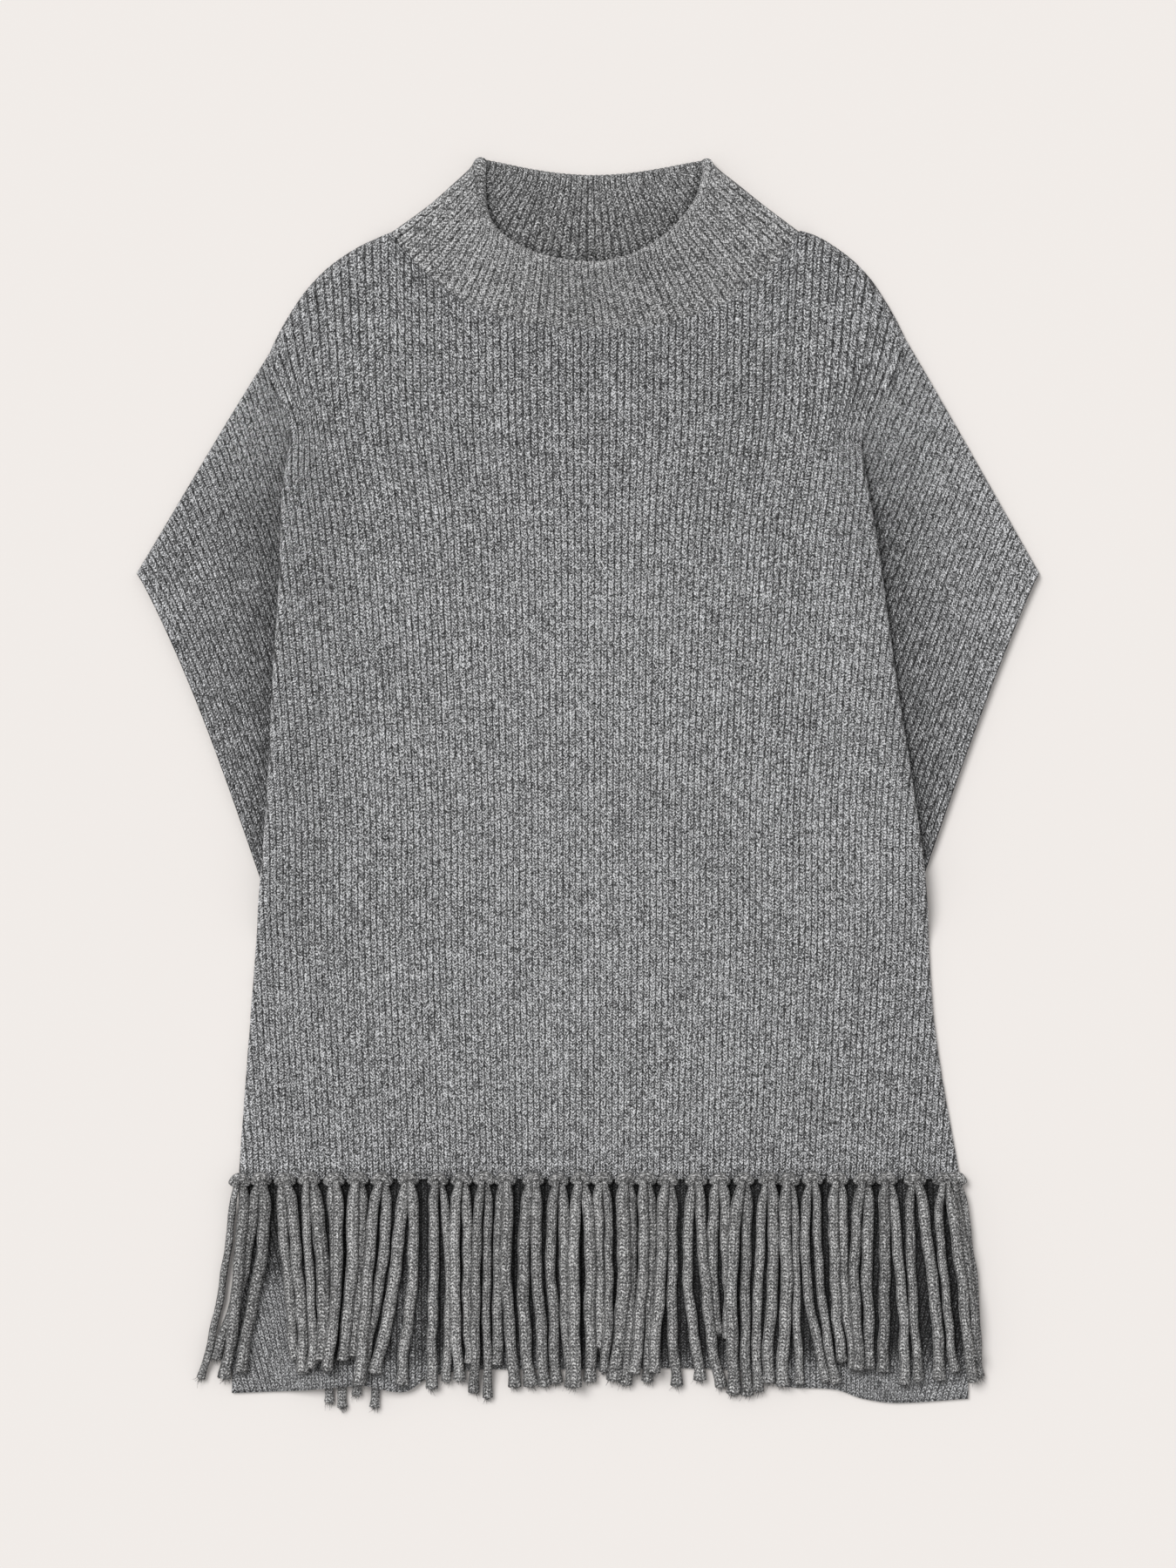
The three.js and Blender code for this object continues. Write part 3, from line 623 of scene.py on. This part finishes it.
class Nodes:
    """A short way to write a material's maths."""

    def __init__(self, tree):
        self.tree = tree

    def add(self, kind, **values):
        """A new node with its properties set."""
        made = self.tree.nodes.new(kind)
        for key, value in values.items():
            setattr(made, key, value)
        return made

    def fill(self, socket, value):
        """Sets a socket to a number, or links another socket to it."""
        if isinstance(value, (int, float)):
            socket.default_value = value
        else:
            self.tree.links.new(value, socket)

    def maths(self, operation, a, b=0.0):
        """One sum of two values."""
        made = self.add("ShaderNodeMath", operation=operation)
        self.fill(made.inputs[0], a)
        self.fill(made.inputs[1], b)
        return made.outputs[0]

    def total(self, *terms):
        """The sum of terms, each a value with its weight."""
        parts = [self.maths("MULTIPLY", value, weight) for value, weight in terms]
        whole = parts[0]
        for part in parts[1:]:
            whole = self.maths("ADD", whole, part)
        return whole

    def noise(self, vector, scale, detail=2.0):
        """Noise with its middle at 0."""
        made = self.add("ShaderNodeTexNoise")
        made.inputs["Scale"].default_value = scale
        made.inputs["Detail"].default_value = detail
        made.inputs["Roughness"].default_value = 0.65
        self.fill(made.inputs["Vector"], vector)
        return self.maths("SUBTRACT", made.outputs["Fac"], 0.5)

    def ramp(self, value, low, high):
        """An even rise from 0 at low to 1 at high."""
        made = self.add("ShaderNodeMapRange", interpolation_type="SMOOTHSTEP")
        self.fill(made.inputs["Value"], value)
        made.inputs["From Min"].default_value = low
        made.inputs["From Max"].default_value = high
        return made.outputs["Result"]


def knit_material(name, colour, valley=1.0, stitch=1.0, marl=1.0, lean=1.85):
    """Marl wool: rows of V stitches in relief, light and dark fibres, painted shade in the gutters and
    between the loops, and a soft sheen.

    valley, stitch and marl weigh the gutters between ribs and their painted shade, the stitches and their
    painted light and shade, and the yarn's mixed colours; lean is how steeply the legs of a V run.
    """
    material = bpy.data.materials.new(name)
    material.use_nodes = True
    nodes = Nodes(material.node_tree)
    shader = material.node_tree.nodes["Principled BSDF"]
    shader.inputs["Roughness"].default_value = 0.95
    shader.inputs["Specular IOR Level"].default_value = 0.12
    shader.inputs["Sheen Weight"].default_value = 0.12
    shader.inputs["Sheen Roughness"].default_value = 0.5

    turned = nodes.add("ShaderNodeMapping")
    turned.inputs["Rotation"].default_value = NOISE_TURN
    nodes.fill(turned.inputs["Vector"], nodes.add("ShaderNodeTexCoord").outputs["Object"])
    place = turned.outputs["Vector"]
    knit = nodes.add("ShaderNodeUVMap", uv_map="knit").outputs["UV"]
    split = nodes.add("ShaderNodeSeparateXYZ")
    nodes.fill(split.inputs["Vector"], knit)
    # Which rib a place is on, how far it is from the rib's middle, and where along its stitch
    sway = nodes.noise(place, 160.0)
    rib = nodes.total((split.outputs["X"], 1.0), (sway, 0.18))
    aside = nodes.maths("ABSOLUTE", nodes.maths("SUBTRACT", nodes.maths("FRACT", rib), 0.5))
    drift = nodes.noise(place, 90.0)
    phase = nodes.total((split.outputs["Y"], 1.0), (aside, -lean), (drift, 0.8))
    wave = nodes.maths("SINE", nodes.maths("MULTIPLY", phase, 2 * math.pi))
    # The gutter between two ribs, the groove between a stitch's legs, and the loops of yarn
    gutter = nodes.ramp(aside, 0.27, 0.48)
    groove = nodes.ramp(aside, 0.13, 0.0)
    loops = nodes.maths("MULTIPLY", wave, nodes.maths("SUBTRACT", 1.0, gutter))
    # Single fibres, flecks that follow the yarn's legs, and soft patches of lighter and darker wool
    fibre = nodes.noise(place, 1100.0, 3.0)
    along_yarn = nodes.add("ShaderNodeCombineXYZ")
    nodes.fill(along_yarn.inputs["X"], nodes.maths("MULTIPLY", rib, 5.0))
    nodes.fill(along_yarn.inputs["Y"], nodes.maths("MULTIPLY", phase, 1.1))
    nodes.fill(along_yarn.inputs["Z"], 0.5)
    fleck = nodes.noise(along_yarn.outputs["Vector"], 1.0)
    patch = nodes.noise(place, 120.0)
    cloud = nodes.noise(place, 22.0)

    bump = nodes.add("ShaderNodeBump")
    bump.inputs["Strength"].default_value = 0.9
    bump.inputs["Distance"].default_value = 0.0007
    relief = nodes.total(
        (loops, 0.5 * stitch), (gutter, -0.8 * valley), (groove, -0.5 * stitch), (fibre, 2.0))
    nodes.fill(bump.inputs["Height"], relief)
    nodes.fill(shader.inputs["Normal"], bump.outputs["Normal"])

    # How many stops lighter or darker than its yarn each place is: painted shade in the gutters and
    # grooves, painted light and shade on the stitches' loops, the marl's fibres, flecks and patches, and
    # each piece's own painted light, shade and random tone
    stops = nodes.total(
        (loops, 1.0 * stitch), (gutter, -2.1 * valley), (groove, -0.6 * stitch), (fibre, 17.5 * marl),
        (fleck, 10.5 * marl), (patch, 1.6 * marl), (cloud, 0.6),
        (nodes.add("ShaderNodeAttribute", attribute_name="tone_and_shade").outputs["Fac"], 1.0),
    )
    stops = nodes.maths("MINIMUM", nodes.maths("ADD", stops, 0.24), 1.8)
    light = nodes.maths("POWER", 2.0, stops)
    tint = nodes.add("ShaderNodeVectorMath", operation="SCALE")
    tint.inputs[0].default_value = colour
    nodes.fill(tint.inputs["Scale"], light)
    nodes.fill(shader.inputs["Base Color"], tint.outputs[0])
    return material


def finish_cloth(obj, material, node):
    """Gives a piece its yarn and smooth faces, hangs it from the root, and hides the solid it stands for.
    """
    obj.data.materials.append(material)
    obj.data.polygons.foreach_set("use_smooth", [True] * len(obj.data.polygons))
    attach(obj, "root")
    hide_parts(node)


def settings():
    """The sizes and colours that the user can change."""
    return bpy.context.scene.poncho_yarn


def height_mm():
    """The height of a rib."""
    return settings().rib_height / MM


def courses(length):
    """How many stitches a length of cloth holds."""
    return length * MM / settings().stitch_pitch


def evenly(ribs):
    """Ribs that are spread evenly across a sheet."""
    return lambda u, v: u * ribs


def close_ring(mesh):
    """Joins a ring's two ends, and its inner and outer edge at the foot."""
    bm = bmesh.new()
    bm.from_mesh(mesh)
    bmesh.ops.remove_doubles(bm, verts=bm.verts, dist=1e-5)
    bmesh.ops.bridge_loops(bm, edges=[edge for edge in bm.edges if edge.is_boundary])
    bmesh.ops.recalc_face_normals(bm, faces=bm.faces)
    bm.to_mesh(mesh)
    bm.free()


def tubes(name, paths, widths, flatten, sides, tones=None, stitch=2.6, blunt=True, shade=0.0):
    """One mesh of closed tubes: paths is tubes by points by xyz, widths is tubes by points."""
    count, rows = widths.shape
    # All tubes start as one long grid, whose rows are the rings of one tube after another
    mesh, across, along = grid_mesh(name, sides, count * rows - 1)
    row = np.rint(along * (count * rows - 1)).astype(int)
    points = paths.reshape(-1, 3)
    # Each ring stands across its tube, with one axis level
    ahead = np.gradient(paths, axis=1)
    ahead /= np.maximum(np.linalg.norm(ahead, axis=2, keepdims=True), 1e-9)
    side = np.stack([-ahead[..., 1], ahead[..., 0], np.zeros_like(ahead[..., 0])], axis=2)
    side /= np.maximum(np.linalg.norm(side, axis=2, keepdims=True), 1e-9)
    over = np.cross(side, ahead).reshape(-1, 3)
    side = side.reshape(-1, 3)
    angle = across * 2 * math.pi
    half = (widths.reshape(-1) / 2)[row][:, None]
    ring = np.cos(angle)[:, None] * side[row] + flatten * np.sin(angle)[:, None] * over[row]
    x, y, z = (points[row] + half * ring).T
    lay(mesh, x, y, np.maximum(z, FLOOR_CLEAR))
    # The knit runs along each tube, and starts at another wale on the next
    steps = np.linalg.norm(np.diff(paths, axis=1), axis=2)
    run = np.concatenate([np.zeros((count, 1)), np.cumsum(steps, axis=1)], axis=1).reshape(-1)
    map_knit(mesh, across * STRAND_WALES + 7 * (row // rows), run[row] / stitch)
    # Each tube's random tone, less painted shade down its sides that is darkest underneath
    if tones is not None:
        paint(mesh, tones[row // rows] - shade * (1 + np.sin(angle)))
    part_tubes(mesh, row, rows, blunt)
    return show(name, mesh)


def part_tubes(mesh, row, rows, blunt):
    """Cuts a long grid into its tubes, closes each round and fills its ends."""
    bm = bmesh.new()
    bm.from_mesh(mesh)
    bm.verts.ensure_lookup_table()
    between = [face for face in bm.faces if len({row[v.index] // rows for v in face.verts}) > 1]
    bmesh.ops.delete(bm, geom=between, context="FACES_ONLY")
    bmesh.ops.remove_doubles(bm, verts=bm.verts, dist=2e-6)
    if blunt:
        bmesh.ops.holes_fill(bm, edges=[edge for edge in bm.edges if edge.is_boundary], sides=0)
    bmesh.ops.recalc_face_normals(bm, faces=bm.faces)
    bm.to_mesh(mesh)
    bm.free()


def strand_plan(knot, root, middle, tip, end, rng, count):
    """A strand's way in plan, from its root to its tip, with a slight wander."""
    s = np.linspace(0, 1, count)
    bend = (middle - mix(root, tip, 0.55)) * np.sin(np.pi * s**0.9) ** 1.1
    wander = 1.0 * np.sin(2 * np.pi * (s * rng.uniform(0.8, 1.8) + rng.uniform())) * s
    wander += 0.5 * np.sin(2 * np.pi * (s * rng.uniform(2.5, 4.5) + rng.uniform())) * s**0.5
    pinch = (knot - root) * 0.55 * np.exp(-((s / 0.07) ** 2))
    return np.column_stack([mix(root, tip, s) + bend + wander + pinch, mix(-0.5, end, s)])


def settle(plans, width, bed):
    """Heights of strands laid down one after another, each resting on those under it."""
    laid = []
    for plan in plans:
        height = bed(plan[:, 0], plan[:, 1]) + width * 0.40
        for other, top in laid:
            apart = np.linalg.norm(plan[:, None, :] - other[None, :, :], axis=2)
            rest = top[None, :] + width * 0.8 * np.sqrt(np.clip(1 - (apart / (width * 0.95)) ** 2, 0, None))
            rest = np.where(apart < width * 0.95, rest, 0)
            height = np.maximum(height, rest.max(axis=1))
        for _ in range(8):
            eased = height.copy()
            eased[1:-1] = (height[:-2] + 2 * height[1:-1] + height[2:]) / 4
            height = np.maximum(eased, height - 0.25)
        laid.append((plan, height))
    return [height for _, height in laid]


def bed_up(x, y):
    """The height of what the fringe lies on: the back panel's inner face, or past it the ground."""
    panel = BACK_UP + HALF + height_mm() + arch_lift(x, y)
    past = np.maximum.reduce([low_edge(x) - y, BACK_LOW[0, 0] - x, x - BACK_LOW[-1, 0]])
    return mix(panel, 0.2, smooth(0, 16, past))


def frays(paths, widths, rng, each, length):
    """Short loose fibres that stand out of the cut end of each tube."""
    made = []
    for path, width in zip(paths, widths):
        tip = path[-1]
        ahead = path[-1] - path[-3]
        ahead = ahead / np.linalg.norm(ahead)
        for _ in range(each):
            turn = rng.uniform(0, 2 * math.pi)
            out = rng.uniform(0, 0.46) * width[-1]
            start = tip + np.array([out * math.cos(turn), 0, 0.75 * out * math.sin(turn)]) - ahead * 1.2
            bow = rng.normal(0, 0.45, 3)
            bow[2] *= 0.5
            s = np.linspace(0, 1, 4)[:, None]
            reach = length * rng.uniform(0.5, 1.2)
            fibre = start + (ahead * s + bow * s**2) * reach
            fibre[:, 2] = np.maximum(fibre[:, 2], 0.3)
            made.append(fibre)
    return np.array(made)


class PONCHO_OT_front(Operator):
    """Knit the front body, its side folds and its two wings"""

    bl_idname = "poncho.front"
    bl_label = "Front"

    def execute(self, context):
        yarn = settings()
        material = knit_material("rib_knit", yarn.knit_grey)
        body = knit_sheet(
            "front_body", BODY_COLUMNS, BODY_ROWS,
            raise_ribs(front_surface, front_ribs, 1), front_ribs, courses(BODY_LONG), body_painted_shade)
        face_up(body)
        thicken(body)
        finish_cloth(body, material, "front")
        ribs = evenly(WING_RIBS)
        for side, outward in (("left", -1), ("right", 1)):
            wing = knit_sheet(
                f"front_wing_{side}", WING_RIBS * yarn.rib_samples, WING_ROWS,
                raise_ribs(wing_surface(side, FRONT_UP, 1), ribs, outward),
                ribs, -courses(WING_LONG), wing_shade_and_light)
            face_up(wing)
            thicken(wing)
            finish_cloth(wing, material, "front")
        return {"FINISHED"}


class PONCHO_OT_back(Operator):
    """Knit the back panel, whose lower inner face shows behind the fringe"""

    bl_idname = "poncho.back"
    bl_label = "Back"

    def execute(self, context):
        yarn = settings()
        material = knit_material("rib_knit_inner", yarn.inner_grey, valley=0.8, marl=0.7)
        skirt = knit_sheet(
            "back_skirt", BACK_RIBS * (yarn.rib_samples + 1), 48,
            raise_ribs(skirt_surface, skirt_ribs, -1), skirt_ribs, courses(SKIRT_LONG), skirt_painted_shade)
        face_up(skirt)
        thicken(skirt)
        finish_cloth(skirt, material, "back")

        def panel(u, v):
            x, y, _, _ = body_surface(u, v, back_neckline, BACK_UP, 0)
            return x * HIDDEN_WIDTH, mix(HIDDEN_START, y - HIDDEN_SHORT, v), np.full_like(x, BACK_UP)

        back = knit_sheet("back_panel", BACK_RIBS * 2, 40, panel, evenly(BACK_RIBS), courses(BODY_LONG))
        face_up(back)
        thicken(back)
        finish_cloth(back, material, "back")
        ribs = evenly(WING_RIBS)
        for side in ("left", "right"):
            plain = wing_surface(side, BACK_UP, 0)

            def inset(u, v, plain=plain):
                x, y, _ = plain(u, v)
                return x * HIDDEN_WIDTH, y - HIDDEN_SHORT, np.full_like(x, BACK_UP)

            wing = knit_sheet(f"back_wing_{side}", WING_RIBS * 2, 20, inset, ribs, courses(WING_LONG))
            face_up(wing)
            thicken(wing)
            finish_cloth(wing, material, "back")
        return {"FINISHED"}


class PONCHO_OT_collar(Operator):
    """Knit the funnel collar, folded double at its rim, with ribs that fan out to its seam"""

    bl_idname = "poncho.collar"
    bl_label = "Collar"

    def execute(self, context):
        yarn = settings()
        material = knit_material("collar_knit", yarn.collar_grey, valley=0.74, stitch=0.85, marl=0.85)
        seam, rim = collar_ring(SEAM), collar_ring(RIM)

        def middle(u, v):
            low, high = seam(u), rim(u)
            across = np.clip((low[0] - SEAM["centre"]) / SEAM["half"], -1, 1)
            flare = mix(COLLAR_FLARE["left"], COLLAR_FLARE["right"], (across + 1) / 2)
            share = v + (flare * v + COLLAR_WAIST * v**6) * (1 - v)
            return mix(low[0], high[0], share), mix(low[1], high[1], v), mix(low[2], high[2], v)

        mesh, u, w = grid_mesh("collar_knit", COLLAR_COLUMNS, COLLAR_ROWS)
        outer, inner = np.clip(w / COLLAR_FACE, 0, 1), np.clip((1 - w) / COLLAR_FACE, 0, 1)
        v = np.where(w < 0.5, outer, inner)
        v = v * (1 + COLLAR_TUCK) - COLLAR_TUCK
        turn = math.pi * np.clip((w - COLLAR_FACE) / COLLAR_LIP, 0, 1)
        normal, up = normals_of(middle, u, np.clip(v, 0, 1), looped=True)
        aside = np.clip((middle(u, v)[0] - RIM["centre"]) / RIM["half"], -1, 1)
        side = np.where(aside < 0, COLLAR_THICK["left"], COLLAR_THICK["right"])
        lip_thick = mix(COLLAR_THICK["front"], side, np.abs(aside) ** 3)
        half = mix(COLLAR_THICK["base"], lip_thick, smooth(0.3, 1, v)) / 2
        half = half + COLLAR_RELIEF * height_mm() * rib_profile(u * COLLAR_RIBS) * smooth(-0.05, 0.05, v)
        x, y, z = np.array(middle(u, v)) + half * (normal * np.cos(turn) + up * np.sin(turn))
        lay(mesh, x, y, np.maximum(z, FLOOR_CLEAR + 0.02 * w))
        map_knit(mesh, u * COLLAR_RIBS, w / COLLAR_FACE * courses(COLLAR_LONG))
        paint(mesh, collar_shade_and_highlight(x, y, u, w))
        close_ring(mesh)
        obj = show("collar_knit", mesh)
        finish_cloth(obj, material, "collar")
        return {"FINISHED"}


class PONCHO_OT_fringe(Operator):
    """Knot the tassels into the front hem, and lay the back fringe's tips"""

    bl_idname = "poncho.fringe"
    bl_label = "Fringe"

    def execute(self, context):
        yarn = settings()
        material = knit_material(
            "fringe_yarn", yarn.fringe_grey, valley=0.35, stitch=0.9, marl=0.64, lean=1.2)
        rng = np.random.default_rng(11)
        width = yarn.strand_width / MM
        strands = []
        for row, girths in zip(TASSELS, STRAND_WIDTHS):
            knot, mid_a, tip_a, end_a, mid_b, tip_b, end_b, under = row
            for key, root, way, girth in (
                ("a", knot - STRAND_ROOT, (mid_a, tip_a, end_a), girths[0]),
                ("b", knot + STRAND_ROOT, (mid_b, tip_b, end_b), girths[1]),
            ):
                plan = strand_plan(knot, root, *way, rng, STRAND_POINTS)
                order = (0 if key in under else 1) + rng.uniform(0, 0.9)
                strands.append((order, plan, girth))
        strands.sort(key=lambda item: item[0])
        plans = [plan for _, plan, _ in strands]
        heights = settle(plans, width, bed_up)
        paths = np.array([np.column_stack([plan, height]) for plan, height in zip(plans, heights)])
        s = np.linspace(0, 1, paths.shape[1])
        widths = []
        for _, _, girth in strands:
            girth = girth * width / STRAND_USUAL
            lumps = 1 + 0.05 * np.sin(s * rng.uniform(20, 45) + rng.uniform(0, 6))
            pinch = 1 - 0.38 * np.exp(-((s / 0.06) ** 2))
            widths.append(girth * lumps * pinch * (1 + STRAND_FLARE * smooth(0.93, 1.0, s)))
        widths = np.array(widths)
        tones = rng.normal(-0.1, 0.16, len(plans))
        front = tubes("front_strands", paths, widths, STRAND_FLAT, STRAND_SIDES, tones, shade=STRAND_SHADE)
        finish_cloth(front, material, "front_fringe")

        t = np.linspace(-1, 1, 13)
        loops = np.array([
            np.column_stack([
                row[0] + KNOT_HALF * t,
                1.6 + rng.normal(0, 0.4) - 4.6 * np.abs(t) ** 2.4,
                5.4 + 3.0 * (1 - t * t),
            ])
            for row in TASSELS
        ])
        girths = np.full(loops.shape[:2], KNOT_GIRTH) * rng.uniform(0.9, 1.1, (len(loops), 1))
        tones = rng.normal(-0.2, 0.08, len(loops))
        knots = tubes("front_knots", loops, girths, 0.8, 10, tones, shade=KNOT_SHADE)
        finish_cloth(knots, material, "front_fringe")

        s = np.linspace(0, 1, TIP_POINTS)
        tips = np.array([
            np.column_stack([
                mix(knot, tip, s) + 0.6 * np.sin(5 * s + knot),
                mix(TIP_TOP, end, s),
                np.full(TIP_POINTS, TIP_UP),
            ])
            for knot, tip, end in BACK_TIPS
        ])
        girths = np.tile(TIP_GIRTH * (1 + 0.2 * smooth(0.85, 1, s)), (len(tips), 1))
        back = tubes("back_tips", tips, girths, 0.8, STRAND_SIDES, rng.normal(-0.1, 0.08, len(tips)))
        finish_cloth(back, material, "back_fringe")

        for name, ends, girth, node in (
            ("front_frays", paths, widths, "front_fringe"),
            ("back_frays", tips, girths, "back_fringe"),
        ):
            fibres = frays(ends, girth, rng, FRAYS_EACH, FRAY_LONG)
            thin = np.tile(FRAY_GIRTHS, (len(fibres), 1))
            loose = tubes(name, fibres, thin, 1.0, 3, rng.normal(0.35, 0.3, len(fibres)), blunt=False)
            finish_cloth(loose, material, node)

        return {"FINISHED"}


class PONCHO_OT_stage(Operator):
    """Lay the pale ground, light it softly and set the camera straight above"""

    bl_idname = "poncho.stage"
    bl_label = "Stage"

    def execute(self, context):
        yarn = settings()
        mesh, _, _ = grid_mesh("ground", 1, 1)
        ground = show("ground", mesh)
        bm = bmesh.new()
        bm.from_mesh(mesh)
        bmesh.ops.scale(bm, vec=(GROUND_SIDE, GROUND_SIDE, 1), verts=bm.verts)
        bm.to_mesh(mesh)
        bm.free()
        material = bpy.data.materials.new("ground")
        material.use_nodes = True
        shader = material.node_tree.nodes["Principled BSDF"]
        shader.inputs["Base Color"].default_value = (*yarn.floor_colour, 1)
        shader.inputs["Roughness"].default_value = 1.0
        shader.inputs["Specular IOR Level"].default_value = 0.0
        ground.data.materials.append(material)

        context.scene.view_settings.view_transform = "Standard"
        world = bpy.data.worlds.new("studio")
        world.use_nodes = True
        background = world.node_tree.nodes["Background"]
        background.inputs["Color"].default_value = (1.0, 1.0, 1.0, 1)
        background.inputs["Strength"].default_value = yarn.sky_strength
        context.scene.world = world
        key = show("key", bpy.data.lights.new("key", "SUN"))
        key.data.energy = yarn.key_power
        key.data.angle = yarn.key_spread
        key.rotation_euler = Vector(KEY_FROM).to_track_quat("Z", "Y").to_euler()

        camera = show("camera", bpy.data.cameras.new("camera"))
        camera.data.lens = LENS
        camera.data.sensor_width = SENSOR
        camera.location = (0.0, HEM + VIEW_MIDDLE, VIEW_LEVEL + VIEW_HEIGHT * LENS / SENSOR)
        camera.data.clip_end = 20
        context.scene.camera = camera
        return {"FINISHED"}


class PONCHO_PT_panel(Panel):
    bl_label = "Poncho"
    bl_space_type = "VIEW_3D"
    bl_region_type = "UI"
    bl_category = "Poncho"

    def draw(self, context):
        """Lists the sizes and colours, then the operators."""
        column = self.layout.column()
        for name in YarnSettings.__annotations__:
            column.prop(context.scene.poncho_yarn, name)
        for operator in OPERATORS:
            column.operator(operator.bl_idname)


OPERATORS = (PONCHO_OT_stage, PONCHO_OT_front, PONCHO_OT_back, PONCHO_OT_collar, PONCHO_OT_fringe)
CLASSES = (YarnSettings, *OPERATORS, PONCHO_PT_panel)


def register():
    for cls in CLASSES:
        bpy.utils.register_class(cls)
    bpy.types.Scene.poncho_yarn = PointerProperty(type=YarnSettings)


def unregister():
    del bpy.types.Scene.poncho_yarn
    for cls in reversed(CLASSES):
        bpy.utils.unregister_class(cls)


def main():
    register()
    bpy.ops.poncho.stage()
    bpy.ops.poncho.front()
    bpy.ops.poncho.back()
    bpy.ops.poncho.collar()
    bpy.ops.poncho.fringe()


if __name__ == "__main__":
    main()
